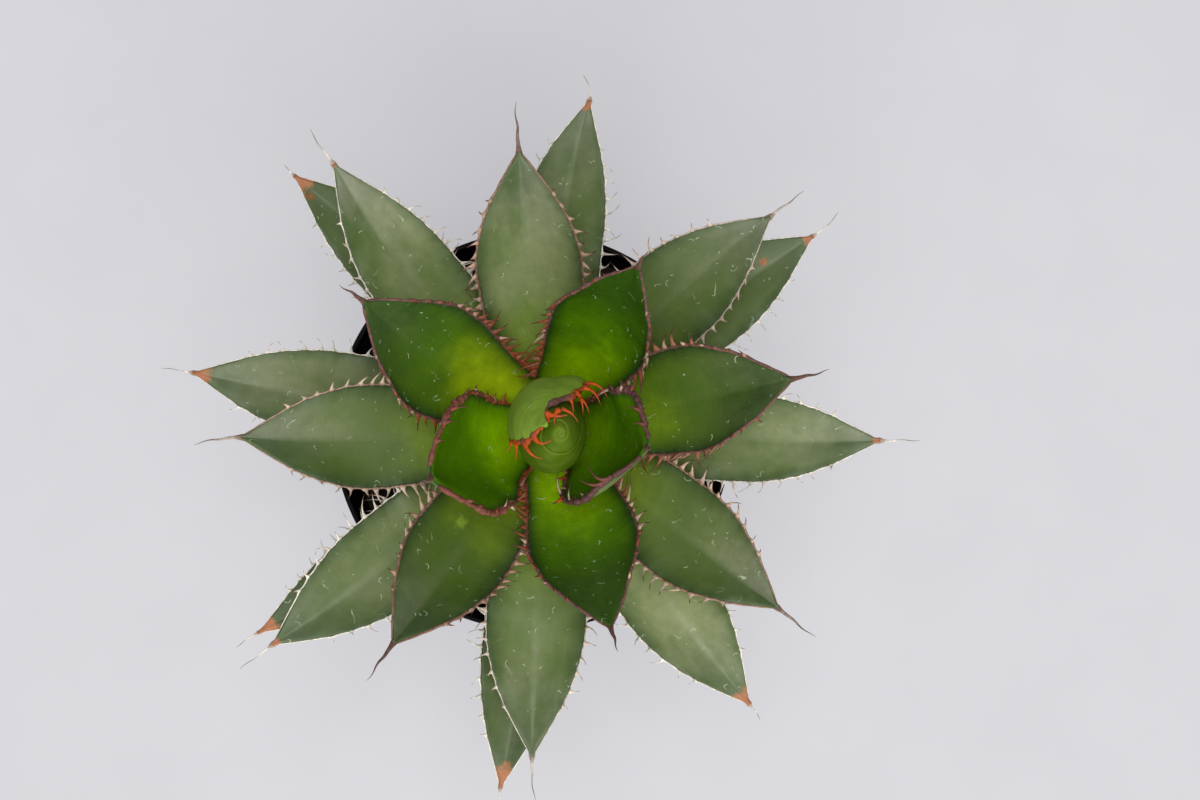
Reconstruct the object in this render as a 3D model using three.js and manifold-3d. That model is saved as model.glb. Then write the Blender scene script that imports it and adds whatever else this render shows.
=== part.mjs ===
// A young agave rosette in a round black nursery pot, in millimetres, +Z up.
// The origin is the centre of the pot's flat underside.
// Seen from straight above, +X is the photograph's right and +Y its top.
import * as THREE from 'three';
import { mergeVertices } from 'three/addons/utils/BufferGeometryUtils.js';
import Module from 'manifold-3d';

const wasm = await Module();
wasm.setup();

// Pot
const POT_HEIGHT = 88;
const RIM_RADIUS = 50;
const RIM_BAND = 9;
const BAND_STEP = 1.8;
const BASE_RADIUS = 36;
const WALL = 1.4;
const LIP_ROUND = 0.5;
const POT_SIDES = 44;
const DRAIN_HOLES = 6;
const DRAIN_RING = 24;
const DRAIN_RADIUS = 4.5;
const DRAIN_SIDES = 14;

// Soil
const SOIL_TOP = 77.8;
const SOIL_BUMP = 0.9;
const SOIL_SIDES = 32;
const SOIL_RINGS = 4;
const SOIL_SEED = 11;

// Plant: the stem stands a little off the pot's axis
const PLANT_X = 4;
const PLANT_Y = 1.5;
const STEM_RADIUS = 11;
const STEM_FOOT = 52;
const STEM_SHOULDER = 92;
const STEM_TOP = 114;
const STEM_SIDES = 20;
const DOME_STEPS = 8;
const GAP = 0.3;

// Leaves: their seats climb the stem, one step for each leaf that grew
const FIRST_SEAT = 81.3;
const SEAT_STEP = 1.18;
const OLD_ARCH = 10;
const YOUNG_ARCH = -14;
const YOUNGEST_AGE = 22;
const LEAF_SEED = 100;
const WIDEST_AT = 0.55;
const TIP_TAPER = 1.15;
const BASE_WRAP = 0.95;
const TIP_HALF_WIDTH = 0.7;
const AXIS_CLEAR = 1.2;
const BLADE_TIP_HALF = 0.5;
const EDGE_THICKNESS = 1.0;
const SEAT_THICKNESS = 3.3;
const MID_THICKNESS = 4.4;
const THICKEST_AT = 0.35;
const TIP_THICKNESS = 1.6;
const CUP = 0.2;
const CUP_MIN_HALF = 3;
const BLADE_STATIONS = [0, 0.08, 0.18, 0.29, 0.4, 0.5, 0.6, 0.7, 0.8, 0.89, 0.95, 0.985];
const BLADE_CROSS_CELLS = 4;
const ROLLED_CROSS_CELLS = 12;

// Horny margin, teeth and terminal spine
const MARGIN_WIDTH = 0.8;
const MARGIN_EDGE = 0.25;
const TOOTH_LENGTH = 2.9;
const TOOTH_ROOT = 1.9;
const TEETH_PER_SIDE = 9;
const TOOTH_FIRST = 0.1;
const TOOTH_LAST = 0.82;
const TOOTH_PACKING = 1.15;
const TOOTH_WANDER = 0.016;
const TOOTH_HOOK = 0.02;
const TOOTH_LIFT = 1.0;
const MARGIN_FOOT = 0.03;
const BARE_STATIONS = [0.89, 0.95, 0.992];
const SPINE_WAVE = 0.25;
const SPINE_FLATNESS = 0.8;
// Along the spine, as a part of its length, and its half width there
const SPINE_RINGS = [[0.08, 0.8], [0.35, 0.55], [0.68, 0.36]];
const SPINE_SIDES = 6;

// Rolled leaf in the heart and the closed leaves inside it
const BUD_X = 5.4;
const BUD_Y = 0.8;
const BUD_OVAL = 1.17;
const BUD_SEAT = 113.4;
const BUD_BASE_RADIUS = 6.2;
const BUD_LENGTH = 41;
const BUD_RISE = [66, 124];
const BUD_HALF_WRAP = 1.5;
const ROLLED_THINNING = 0.5;
const ROLLED_TAPER = 0.4;
const BUD_TURN = 121;
const BUD_SPINE = 3;
const CORE_SIDES = 22;
const CORE_RINGS = 8;
const CORE_SPAN = [0.04, 0.86];
const CORE_MIN_RADIUS = 0.8;
const CORE_BULGE = 0.1;
const CORE_BULGE_TURN = 290;

const RADIANS = Math.PI / 180;

// One row for each open leaf, from the oldest to the youngest.
// age: growth steps after the first, turn: where its tip points (degrees, +X to +Y),
// reach: tip from the plant's axis in plan, rise: slope from seat to tip, width: widest,
// sweep: how far the tip is bent round from the seat (degrees),
// spine and aim: length of its spine and the spine's own turn (degrees)
const LEAVES = [
  { age: 0, turn: 215.5, reach: 89.5, rise: 8, width: 18, sweep: -3, spine: 6, aim: -4 },
  { age: 2, turn: 135.5, reach: 89, rise: 8, width: 21, sweep: 3, spine: 3, aim: 0 },
  { age: 3, turn: 262.5, reach: 91, rise: 9, width: 21, sweep: -1.5, spine: 5, aim: 6 },
  { age: 4, turn: 35.5, reach: 81, rise: 10, width: 23, sweep: -2, spine: 8, aim: 9 },
  { age: 5, turn: 171.5, reach: 89, rise: 9, width: 23, sweep: -1, spine: 7, aim: 1 },
  { age: 6, turn: 306, reach: 85, rise: 11, width: 24.5, sweep: 1.5, spine: 4, aim: 0 },
  { age: 7, turn: 82.5, reach: 81, rise: 11, width: 22, sweep: -5, spine: 6, aim: 30 },
  { age: 8, turn: 218.5, reach: 86, rise: 13, width: 24.5, sweep: -2.5, spine: 9, aim: -1 },
  { age: 9, turn: 357.5, reach: 82, rise: 11, width: 22.5, sweep: 1.5, spine: 9, aim: 5 },
  { age: 10, turn: 129, reach: 82, rise: 16, width: 23, sweep: -4, spine: 9.5, aim: -5 },
  { age: 11, turn: 267.5, reach: 80.5, rise: 15, width: 25.5, sweep: 1, spine: 10, aim: 9 },
  { age: 12, turn: 43, reach: 74, rise: 20, width: 25, sweep: -4, spine: 10, aim: -9 },
  { age: 13, turn: 182, reach: 73.5, rise: 20, width: 26.5, sweep: -2, spine: 11, aim: 9 },
  { age: 14, turn: 322, reach: 70.5, rise: 23, width: 25.5, sweep: 0, spine: 11.5, aim: 0 },
  { age: 15, turn: 95.5, reach: 66, rise: 25, width: 27, sweep: -1, spine: 12.5, aim: -3 },
  { age: 16, turn: 235, reach: 62, rise: 34, width: 27, sweep: 0, spine: 12, aim: 0 },
  { age: 17, turn: 11, reach: 59, rise: 36, width: 27.5, sweep: 0, spine: 11, aim: 4 },
  { age: 18, turn: 145, reach: 51, rise: 44, width: 29.5, sweep: -4, spine: 9.5, aim: -1 },
  { age: 19, turn: 288.5, reach: 48.5, rise: 47, width: 29, sweep: 0, spine: 9, aim: 2 },
  { age: 20, turn: 59.5, reach: 42.5, rise: 54, width: 27.5, sweep: 0, spine: 9, aim: 0 },
  { age: 21, turn: 204, reach: 28.5, rise: 62, width: 30, sweep: 5, spine: 7, aim: 0 },
  { age: 22, turn: 349, reach: 24, rise: 68, width: 30.5, sweep: 5, spine: 7, aim: 0 },
];

const COLOURS = {
  pot: 0x0b0b0b,
  soil: 0x1c1611,
  stem: 0x8f9a55,
  oldLeaf: 0x7c8a5c,
  youngLeaf: 0x3c6a12,
  oldMargin: 0xb59a80,
  youngMargin: 0x6b3326,
  heartMargin: 0xc8481a,
};

// Repeatable random draw, 0 to 1
function seededRandom(seed) {
  let state = seed >>> 0;
  return () => {
    state = (state * 1664525 + 1013904223) >>> 0;
    return state / 4294967296;
  };
}

function mix(a, b, part) {
  return a + (b - a) * part;
}

function geometryOf(points, triangles) {
  const geometry = new THREE.BufferGeometry();
  geometry.setAttribute('position', new THREE.Float32BufferAttribute(points.flat(), 3));
  geometry.setIndex(triangles.flat());
  return geometry;
}

function named(name, geometry, colour, roughness) {
  const material = new THREE.MeshStandardMaterial({ color: colour, roughness, metalness: 0 });
  const mesh = new THREE.Mesh(geometry, material);
  mesh.name = name;
  return mesh;
}

// Lathe about +Z of a profile of [radius, height] pairs that runs from axis to axis
function lathe(profile, sides) {
  const geometry = new THREE.LatheGeometry(profile.map(([r, z]) => new THREE.Vector2(r, z)), sides);
  geometry.rotateX(Math.PI / 2);
  geometry.deleteAttribute('normal');
  geometry.deleteAttribute('uv');
  return mergeVertices(geometry, 1e-3);
}

function solidOf(geometry) {
  return new wasm.Manifold(new wasm.Mesh({
    numProp: 3,
    vertProperties: new Float32Array(geometry.attributes.position.array),
    triVerts: new Uint32Array(geometry.index.array),
  }));
}

function geometryOfSolid(solid) {
  const mesh = solid.getMesh();
  const geometry = new THREE.BufferGeometry();
  geometry.setAttribute('position', new THREE.Float32BufferAttribute(mesh.vertProperties, 3));
  geometry.setIndex(Array.from(mesh.triVerts));
  return geometry;
}

// Radius of the pot's inner wall at a height below the rim band
function innerRadius(z) {
  const outer = mix(BASE_RADIUS, RIM_RADIUS - BAND_STEP, z / (POT_HEIGHT - RIM_BAND));
  return outer - WALL;
}

function potGeometry() {
  const bandFoot = POT_HEIGHT - RIM_BAND;
  const neck = RIM_RADIUS - BAND_STEP;
  const profile = [
    [0, 0],
    [BASE_RADIUS - 1, 0],
    [BASE_RADIUS, 1],
    [neck, bandFoot],
    [RIM_RADIUS, bandFoot + 0.6],
    [RIM_RADIUS, POT_HEIGHT - LIP_ROUND],
    [RIM_RADIUS - LIP_ROUND, POT_HEIGHT],
    [RIM_RADIUS - WALL + LIP_ROUND, POT_HEIGHT],
    [RIM_RADIUS - WALL, POT_HEIGHT - LIP_ROUND],
    [RIM_RADIUS - WALL, bandFoot + 2.4],
    [innerRadius(bandFoot), bandFoot + 0.8],
    [innerRadius(WALL), WALL],
    [0, WALL],
  ];
  let pot = solidOf(lathe(profile, POT_SIDES));
  for (let hole = 0; hole < DRAIN_HOLES; hole += 1) {
    const angle = (hole / DRAIN_HOLES) * 2 * Math.PI;
    const drill = new THREE.CylinderGeometry(DRAIN_RADIUS, DRAIN_RADIUS, 4 * WALL, DRAIN_SIDES);
    drill.deleteAttribute('normal');
    drill.deleteAttribute('uv');
    drill.rotateX(Math.PI / 2);
    drill.translate(DRAIN_RING * Math.cos(angle), DRAIN_RING * Math.sin(angle), 0);
    pot = pot.subtract(solidOf(mergeVertices(drill, 1e-3)));
  }
  return geometryOfSolid(pot);
}

// The stem is a column with a domed top: how far up the dome a height lies, as an angle
function domeAngle(z) {
  return Math.asin(Math.max(0, z - STEM_SHOULDER) / (STEM_TOP - STEM_SHOULDER));
}

function stemRadius(z) {
  return STEM_RADIUS * Math.cos(domeAngle(z));
}

// Slope at which the stem's surface faces outwards at a height
function stemNormal(z) {
  return Math.atan((STEM_RADIUS / (STEM_TOP - STEM_SHOULDER)) * Math.tan(domeAngle(z)));
}

function stemGeometry() {
  const profile = [[0, STEM_FOOT], [STEM_RADIUS * 0.6, STEM_FOOT], [STEM_RADIUS, STEM_FOOT + 5]];
  for (let step = 0; step < DOME_STEPS; step += 1) {
    const angle = (step / DOME_STEPS) * (Math.PI / 2);
    profile.push([STEM_RADIUS * Math.cos(angle), mix(STEM_SHOULDER, STEM_TOP, Math.sin(angle))]);
  }
  profile.push([0, STEM_TOP]);
  const geometry = lathe(profile, STEM_SIDES);
  geometry.translate(PLANT_X, PLANT_Y, 0);
  return geometry;
}

// The soil is one closed skin, built ring by ring from the middle of its underside,
// up along the wall, over the crumbly top and down into the stem's hole
function soilGeometry() {
  const random = seededRandom(SOIL_SEED);
  const floor = WALL + GAP;
  const holeRadius = STEM_RADIUS + GAP;
  const wallTop = innerRadius(SOIL_TOP) - 2 * GAP;
  const points = [[0, 0, floor]];
  const triangles = [];
  const addRing = (radius, x, y, height) => {
    const first = points.length;
    for (let side = 0; side < SOIL_SIDES; side += 1) {
      const angle = (side / SOIL_SIDES) * 2 * Math.PI;
      points.push([x + radius * Math.cos(angle), y + radius * Math.sin(angle), height()]);
    }
    return first;
  };
  const join = (outer, inner) => {
    for (let side = 0; side < SOIL_SIDES; side += 1) {
      const next = (side + 1) % SOIL_SIDES;
      triangles.push([outer + side, outer + next, inner + next]);
      triangles.push([outer + side, inner + next, inner + side]);
    }
  };
  const cap = (middle, ring, up) => {
    for (let side = 0; side < SOIL_SIDES; side += 1) {
      const next = (side + 1) % SOIL_SIDES;
      triangles.push(up ? [middle, ring + side, ring + next] : [middle, ring + next, ring + side]);
    }
  };
  let ring = addRing(innerRadius(floor) - 2 * GAP, 0, 0, () => floor);
  cap(0, ring, false);
  for (let step = 0; step <= SOIL_RINGS; step += 1) {
    const part = step / SOIL_RINGS;
    const still = step === 0 || step === SOIL_RINGS;
    const bump = () => SOIL_TOP + (still ? 0 : SOIL_BUMP * (2 * random() - 1));
    const next = addRing(mix(wallTop, holeRadius, part), PLANT_X * part, PLANT_Y * part, bump);
    join(ring, next);
    ring = next;
  }
  const holeFoot = addRing(holeRadius, PLANT_X, PLANT_Y, () => STEM_FOOT - GAP);
  join(ring, holeFoot);
  points.push([PLANT_X, PLANT_Y, STEM_FOOT - GAP]);
  cap(points.length - 1, holeFoot, true);
  return geometryOf(points, triangles);
}

// Shape of an open leaf. Its midrib is an arc of a circle in the upright plane of its azimuth,
// and the blade lies on the surface that this arc sweeps round the plant's axis.
// Younger leaves sit higher and rise more steeply, so these surfaces nest and never cross.
function openLeaf(row) {
  const youth = row.age / YOUNGEST_AGE;
  const arch = mix(OLD_ARCH, YOUNG_ARCH, youth);
  const angles = [(row.rise + arch) * RADIANS, (row.rise - arch) * RADIANS];
  const seat = FIRST_SEAT + SEAT_STEP * row.age;
  const overhang = Math.max(0, angles[0] - stemNormal(seat));
  const start = stemRadius(seat) + 2 * GAP + 0.5 * SEAT_THICKNESS * Math.tan(overhang);
  const spread = (Math.sin(angles[1]) - Math.sin(angles[0])) / (angles[1] - angles[0]);
  return {
    azimuth: (row.turn - row.sweep) * RADIANS,
    sweep: row.sweep * RADIANS,
    angles,
    start,
    seat,
    length: (row.reach - start) / spread,
    baseHalf: BASE_WRAP * start,
    widestHalf: row.width / 2,
    cup: CUP * (1 - 0.6 * youth),
    youth,
    spine: row.spine,
    aim: row.aim * RADIANS,
    seed: LEAF_SEED + row.age,
  };
}

// The outer rolled leaf of the heart closes over the axis, so its wrap is an angle
function budLeaf() {
  return {
    azimuth: BUD_TURN * RADIANS,
    sweep: 0,
    angles: BUD_RISE.map((angle) => angle * RADIANS),
    start: BUD_BASE_RADIUS,
    seat: BUD_SEAT,
    length: BUD_LENGTH,
    wrap: BUD_HALF_WRAP,
    cup: 0,
    youth: 1,
    spine: BUD_SPINE,
    aim: 0,
    seed: LEAF_SEED - 1,
  };
}

function arcAngle(leaf, s) {
  return mix(leaf.angles[0], leaf.angles[1], s);
}

// Radius and height of the midrib at s, 0 at the seat and 1 at the tip
function midrib(leaf, s) {
  const angle = arcAngle(leaf, s);
  const radius = leaf.length / (leaf.angles[1] - leaf.angles[0]);
  return [
    leaf.start + radius * (Math.sin(angle) - Math.sin(leaf.angles[0])),
    leaf.seat - radius * (Math.cos(angle) - Math.cos(leaf.angles[0])),
  ];
}

// Half of the leaf's width, with its horny margin, at s
function halfWidth(leaf, s) {
  const past = Math.max(0, (s - WIDEST_AT) / (1 - WIDEST_AT));
  const taper = Math.pow(Math.max(0, 1 - past * past), TIP_TAPER);
  if (leaf.wrap) {
    const radius = Math.max(AXIS_CLEAR, midrib(leaf, s)[0]);
    return Math.max(TIP_HALF_WIDTH, leaf.wrap * radius * Math.pow(taper, ROLLED_TAPER));
  }
  const swell = Math.sin((Math.PI / 2) * Math.min(1, s / WIDEST_AT)) ** 2;
  const grown = mix(leaf.baseHalf, leaf.widestHalf, swell);
  return Math.max(TIP_HALF_WIDTH, grown * taper);
}

function thickness(leaf, s, across) {
  const thin = leaf.wrap ? ROLLED_THINNING : 1;
  const middle = s < THICKEST_AT
    ? mix(SEAT_THICKNESS, MID_THICKNESS, s / THICKEST_AT)
    : mix(MID_THICKNESS, TIP_THICKNESS, (s - THICKEST_AT) / (1 - THICKEST_AT));
  return mix(middle * thin, EDGE_THICKNESS, across * across);
}

// A point of the leaf: s along, v across in mm, lift above the middle surface
function leafPoint(leaf, s, v, lift) {
  const [radius, height] = midrib(leaf, s);
  const angle = arcAngle(leaf, s);
  const half = halfWidth(leaf, s);
  const raise = lift + leaf.cup * Math.min(1, 2 * s) * (v * v) / Math.max(half, CUP_MIN_HALF);
  const around = leaf.azimuth + leaf.sweep * s * s + v / Math.max(radius, AXIS_CLEAR);
  const r = radius - raise * Math.sin(angle);
  return placed(leaf, r * Math.cos(around), r * Math.sin(around), height + raise * Math.cos(angle));
}

// The heart stands a little off the plant's axis, and it is oval
function placed(leaf, x, y, z) {
  if (leaf.wrap) return [BUD_X + x, BUD_Y + y * BUD_OVAL, z];
  return [PLANT_X + x, PLANT_Y + y, z];
}

function bladeGeometry(leaf) {
  const stations = BLADE_STATIONS;
  const lengthCells = stations.length - 1;
  const crossCells = leaf.wrap ? ROLLED_CROSS_CELLS : BLADE_CROSS_CELLS;
  const columns = crossCells + 1;
  const points = [];
  for (const side of [1, -1]) {
    for (const s of stations) {
      const half = Math.max(BLADE_TIP_HALF, halfWidth(leaf, s) - MARGIN_WIDTH - GAP);
      for (let column = 0; column < columns; column += 1) {
        const across = (2 * column) / crossCells - 1;
        points.push(leafPoint(leaf, s, half * across, side * 0.5 * thickness(leaf, s, across)));
      }
    }
  }
  const under = stations.length * columns;
  const at = (row, column) => row * columns + column;
  const triangles = [];
  for (let row = 0; row < lengthCells; row += 1) {
    for (let column = 0; column < crossCells; column += 1) {
      const a = at(row, column);
      const b = at(row + 1, column);
      const c = at(row + 1, column + 1);
      const d = at(row, column + 1);
      triangles.push([a, b, c], [a, c, d]);
      triangles.push([under + a, under + c, under + b], [under + a, under + d, under + c]);
    }
    const left = [at(row, 0), at(row + 1, 0)];
    const right = [at(row, columns - 1), at(row + 1, columns - 1)];
    triangles.push([left[0], under + left[0], left[1]], [left[1], under + left[0], under + left[1]]);
    triangles.push([right[0], right[1], under + right[0]], [right[1], under + right[1], under + right[0]]);
  }
  for (let column = 0; column < crossCells; column += 1) {
    const foot = [at(0, column), at(0, column + 1)];
    const tip = [at(lengthCells, column), at(lengthCells, column + 1)];
    triangles.push([foot[0], foot[1], under + foot[0]], [foot[1], under + foot[1], under + foot[0]]);
    triangles.push([tip[0], under + tip[0], tip[1]], [tip[1], under + tip[0], under + tip[1]]);
  }
  return geometryOf(points, triangles);
}

// Stations of one side of the margin: pairs round each tooth, plain stretches between them.
// Teeth stand closer together near the seat, and the last part before the tip is bare.
function marginStations(leaf, random) {
  const stations = [{ s: MARGIN_FOOT, tooth: false }];
  for (let tooth = 0; tooth < TEETH_PER_SIDE; tooth += 1) {
    const part = Math.pow(tooth / (TEETH_PER_SIDE - 1), 1 / TOOTH_PACKING);
    const wander = (random() - 0.5) * TOOTH_WANDER;
    const s = mix(TOOTH_FIRST, TOOTH_LAST, part) + wander;
    const rootHalf = (0.5 * TOOTH_ROOT) / leaf.length;
    stations.push({ s: s - rootHalf, tooth: true }, { s: s + rootHalf, tooth: false });
  }
  return stations.concat(BARE_STATIONS.map((s) => ({ s, tooth: false })));
}

// The horny margin runs up one side, round the tip and down the other, as one body
function marginGeometry(leaf) {
  const random = seededRandom(leaf.seed);
  const points = [];
  const triangles = [];
  const ends = [];
  for (const side of [1, -1]) {
    const face = (a, b, c) => triangles.push(side > 0 ? [a, c, b] : [a, b, c]);
    const stations = marginStations(leaf, random);
    const rows = stations.map(({ s }) => {
      const half = halfWidth(leaf, s);
      const inner = Math.max(BLADE_TIP_HALF + GAP, half - MARGIN_WIDTH);
      const outer = Math.max(half, inner + GAP) + MARGIN_EDGE;
      const lift = 0.5 * EDGE_THICKNESS;
      points.push(leafPoint(leaf, s, side * inner, lift));
      points.push(leafPoint(leaf, s, side * inner, -lift));
      points.push(leafPoint(leaf, s, side * outer, 0));
      return points.length - 3;
    });
    face(rows[0], rows[0] + 1, rows[0] + 2);
    for (let step = 0; step + 1 < rows.length; step += 1) {
      const [a, b, c] = [rows[step], rows[step] + 1, rows[step] + 2];
      const [a2, b2, c2] = [rows[step + 1], rows[step + 1] + 1, rows[step + 1] + 2];
      face(a, a2, b);
      face(a2, b2, b);
      if (stations[step].tooth) {
        const s = 0.5 * (stations[step].s + stations[step + 1].s);
        const hook = (random() - 0.35) * TOOTH_HOOK;
        const reach = halfWidth(leaf, s) + TOOTH_LENGTH * mix(0.75, 1.1, random());
        const lift = (random() - 0.4) * TOOTH_LIFT * Math.min(1, 2 * s);
        points.push(leafPoint(leaf, s + hook, side * reach, lift));
        const t = points.length - 1;
        face(a, c, t);
        face(a, t, a2);
        face(a2, t, c2);
        face(b, t, c);
        face(b, b2, t);
        face(b2, c2, t);
      } else {
        face(a, c, c2);
        face(a, c2, a2);
        face(b, b2, c2);
        face(b, c2, c);
      }
    }
    ends.push(rows[rows.length - 1]);
  }
  addSpine(leaf, points, triangles, ends);
  return geometryOf(points, triangles);
}

// The terminal spine grows out of both ends of the margin, six-sided and slightly wavy
function addSpine(leaf, points, triangles, [right, left]) {
  const rings = [[right + 2, right, left, left + 2, left + 1, right + 1]];
  triangles.push([right, right + 1, left], [left, right + 1, left + 1]);
  const angle = leaf.angles[1];
  const around = leaf.azimuth + leaf.sweep + leaf.aim;
  const along = new THREE.Vector3(
    Math.cos(angle) * Math.cos(around), Math.cos(angle) * Math.sin(around), Math.sin(angle));
  const beside = new THREE.Vector3(-Math.sin(around), Math.cos(around), 0);
  const above = new THREE.Vector3().crossVectors(along, beside);
  const root = new THREE.Vector3(...leafPoint(leaf, 1, 0, 0));
  const place = (distance, across, lift) => {
    const wave = SPINE_WAVE * Math.sin(distance + leaf.seed);
    const point = root.clone().addScaledVector(along, distance);
    point.addScaledVector(beside, across + wave).addScaledVector(above, lift);
    points.push(point.toArray());
    return points.length - 1;
  };
  for (const [part, radius] of SPINE_RINGS) {
    const ring = [];
    for (let corner = 0; corner < SPINE_SIDES; corner += 1) {
      const turn = (corner / SPINE_SIDES) * 2 * Math.PI;
      const lift = radius * Math.sin(turn) * SPINE_FLATNESS;
      ring.push(place(part * leaf.spine, radius * Math.cos(turn), lift));
    }
    rings.push(ring);
  }
  for (let step = 0; step + 1 < rings.length; step += 1) {
    for (let corner = 0; corner < SPINE_SIDES; corner += 1) {
      const next = (corner + 1) % SPINE_SIDES;
      const [near, far] = [rings[step], rings[step + 1]];
      triangles.push([near[corner], far[next], far[corner]]);
      triangles.push([near[corner], near[next], far[next]]);
    }
  }
  const apex = place(leaf.spine, 0, 0);
  const last = rings[rings.length - 1];
  for (let corner = 0; corner < SPINE_SIDES; corner += 1) {
    triangles.push([last[corner], last[(corner + 1) % SPINE_SIDES], apex]);
  }
}

// Closed young leaves inside the rolled one: a slim cone that follows its inner face
// and bulges out of its open side
function budCoreGeometry(outer) {
  const profile = [[0, STEM_TOP + GAP]];
  for (let step = 0; step < CORE_RINGS; step += 1) {
    const s = mix(CORE_SPAN[0], CORE_SPAN[1], step / (CORE_RINGS - 1));
    const [radius, height] = midrib(outer, s);
    const clear = 0.5 * thickness(outer, s, 0) + GAP;
    const angle = arcAngle(outer, s);
    const inside = Math.max(CORE_MIN_RADIUS, radius - clear * Math.sin(angle));
    profile.push([inside, height + clear * Math.cos(angle)]);
  }
  const top = profile[profile.length - 1];
  profile.push([0, top[1] + 0.4]);
  const geometry = lathe(profile, CORE_SIDES);
  const corners = geometry.attributes.position;
  for (let index = 0; index < corners.count; index += 1) {
    const [x, y] = [corners.getX(index), corners.getY(index)];
    const facing = Math.max(0, Math.cos(Math.atan2(y, x) - CORE_BULGE_TURN * RADIANS));
    const swell = 1 + CORE_BULGE * facing * facing;
    corners.setXYZ(index, ...placed(outer, x * swell, y * swell, corners.getZ(index)));
  }
  return geometry;
}

const plant = new THREE.Group();
plant.add(named('pot', potGeometry(), COLOURS.pot, 0.45));
plant.add(named('soil', soilGeometry(), COLOURS.soil, 0.95));
plant.add(named('stem', stemGeometry(), COLOURS.stem, 0.6));

LEAVES.forEach((row, index) => {
  const leaf = openLeaf(row);
  const number = String(index + 1).padStart(2, '0');
  const green = new THREE.Color(COLOURS.oldLeaf).lerp(new THREE.Color(COLOURS.youngLeaf), leaf.youth);
  const brown = new THREE.Color(COLOURS.oldMargin).lerp(new THREE.Color(COLOURS.youngMargin), leaf.youth);
  plant.add(named(`leaf_${number}_blade`, bladeGeometry(leaf), green, 0.55));
  plant.add(named(`leaf_${number}_margin`, marginGeometry(leaf), brown, 0.5));
});

const rolled = budLeaf();
plant.add(named('bud_leaf_blade', bladeGeometry(rolled), COLOURS.youngLeaf, 0.5));
plant.add(named('bud_leaf_margin', marginGeometry(rolled), COLOURS.heartMargin, 0.45));
plant.add(named('bud_core', budCoreGeometry(rolled), COLOURS.youngLeaf, 0.5));

export default plant;
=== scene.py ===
"""Looks of a young agave rosette in a round black nursery pot.

Lengths are in millimetres here and become metres where a mesh is made.
+X is the photograph's right, +Y its top, +Z up, and the origin is the centre of the pot's underside.
"""

import math
from types import SimpleNamespace

import bpy
import numpy as np
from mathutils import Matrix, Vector, noise


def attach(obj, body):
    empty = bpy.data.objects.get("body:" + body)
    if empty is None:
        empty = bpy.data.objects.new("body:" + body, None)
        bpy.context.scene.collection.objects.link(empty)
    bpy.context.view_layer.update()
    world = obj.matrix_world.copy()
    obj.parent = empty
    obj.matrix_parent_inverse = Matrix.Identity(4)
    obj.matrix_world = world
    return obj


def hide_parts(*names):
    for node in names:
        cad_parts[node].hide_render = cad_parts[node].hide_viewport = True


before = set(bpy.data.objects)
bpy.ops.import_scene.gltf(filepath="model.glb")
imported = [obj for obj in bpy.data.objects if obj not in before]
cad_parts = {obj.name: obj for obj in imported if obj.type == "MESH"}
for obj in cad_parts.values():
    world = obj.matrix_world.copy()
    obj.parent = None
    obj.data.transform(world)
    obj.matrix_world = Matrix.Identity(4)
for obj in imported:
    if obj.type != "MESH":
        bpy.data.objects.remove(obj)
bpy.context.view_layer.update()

MM = 0.001

# Pot and soil, as in the part's source
POT_HEIGHT = 88
RIM_RADIUS = 50
RIM_BAND = 9
BAND_STEP = 1.8
BASE_RADIUS = 36
WALL = 1.4
LIP_ROUND = 0.6
FOOT_ROUND = 1.2
FLOOR_ROUND = 1.5
POT_SIDES = 160
DRAIN_HOLES = 6
DRAIN_RING = 24
DRAIN_RADIUS = 4.5
SOIL_TOP = 77.8
GAP = 0.3

# Plant and stem
PLANT_X = 4
PLANT_Y = 1.5
STEM_RADIUS = 11
STEM_FOOT = 52
STEM_SHOULDER = 92
STEM_TOP = 114

# Leaf shape, as in the part's source
FIRST_SEAT = 81.3
SEAT_STEP = 1.18
OLD_ARCH = 10
YOUNG_ARCH = -14
YOUNGEST_AGE = 22
CUP_AGE = 21
BUD_AGE = 23
LAST_OLD_LEAF = 12
WIDEST_AT = 0.55
TIP_TAPER = 1.15
BASE_WRAP = 0.95
TIP_HALF_WIDTH = 0.7
AXIS_CLEAR = 1.2
EDGE_THICKNESS = 1.0
SEAT_THICKNESS = 3.3
MID_THICKNESS = 4.4
THICKEST_AT = 0.35
TIP_THICKNESS = 1.6
CUP = 0.2
CUP_MIN_HALF = 3

# Heart
BUD_X = 5.4
BUD_Y = 0.8
BUD_OVAL = 1.17
BUD_SEAT = 113.4
BUD_BASE_RADIUS = 6.2
BUD_LENGTH = 41
BUD_RISE = (66, 124)
BUD_HALF_WRAP = 1.5
BUD_TURN = 121
BUD_CLOSING = 1.7
BUD_CLOSES_FROM = 0.7
BUD_FLARE = 3.0
BUD_FLARE_AT = 0.48
BUD_FLARE_LENGTH = 0.2
BUD_EDGE_AT = (0, 0.45, 0.6, 0.745, 0.8, 0.835, 0.885, 0.925, 0.965, 1)
BUD_EDGE = {
    1: (72, 72, 74, 79, 81, 82, 83, 72, 50, 20),
    -1: (69, 75, 74, 68, 54, 36, 24, 20, 14, 8),
}
ROLLED_THINNING = 0.5

# Closed young leaves inside it: one sheet rolled up under a dome
CORE_Y = 0.2
CORE_RADIUS = 8.4
CORE_FOOT_RADIUS = 5.6
CORE_FOOT = 115.2
CORE_SHOULDER = 129
CORE_TOP = 150.5
CORE_LEAN = (2.9, 0.1)
CORE_SEAM = 60
CORE_TURNS = 4.4
CORE_SHEET = 0.17
CORE_RIM = (7.5, 0.03)
CORE_WOBBLE = (0.08, 0.05)
CORE_ROWS = 340
CORE_DOME_LEVELS = 20
CORE_WALL_LEVELS = 8

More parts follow.
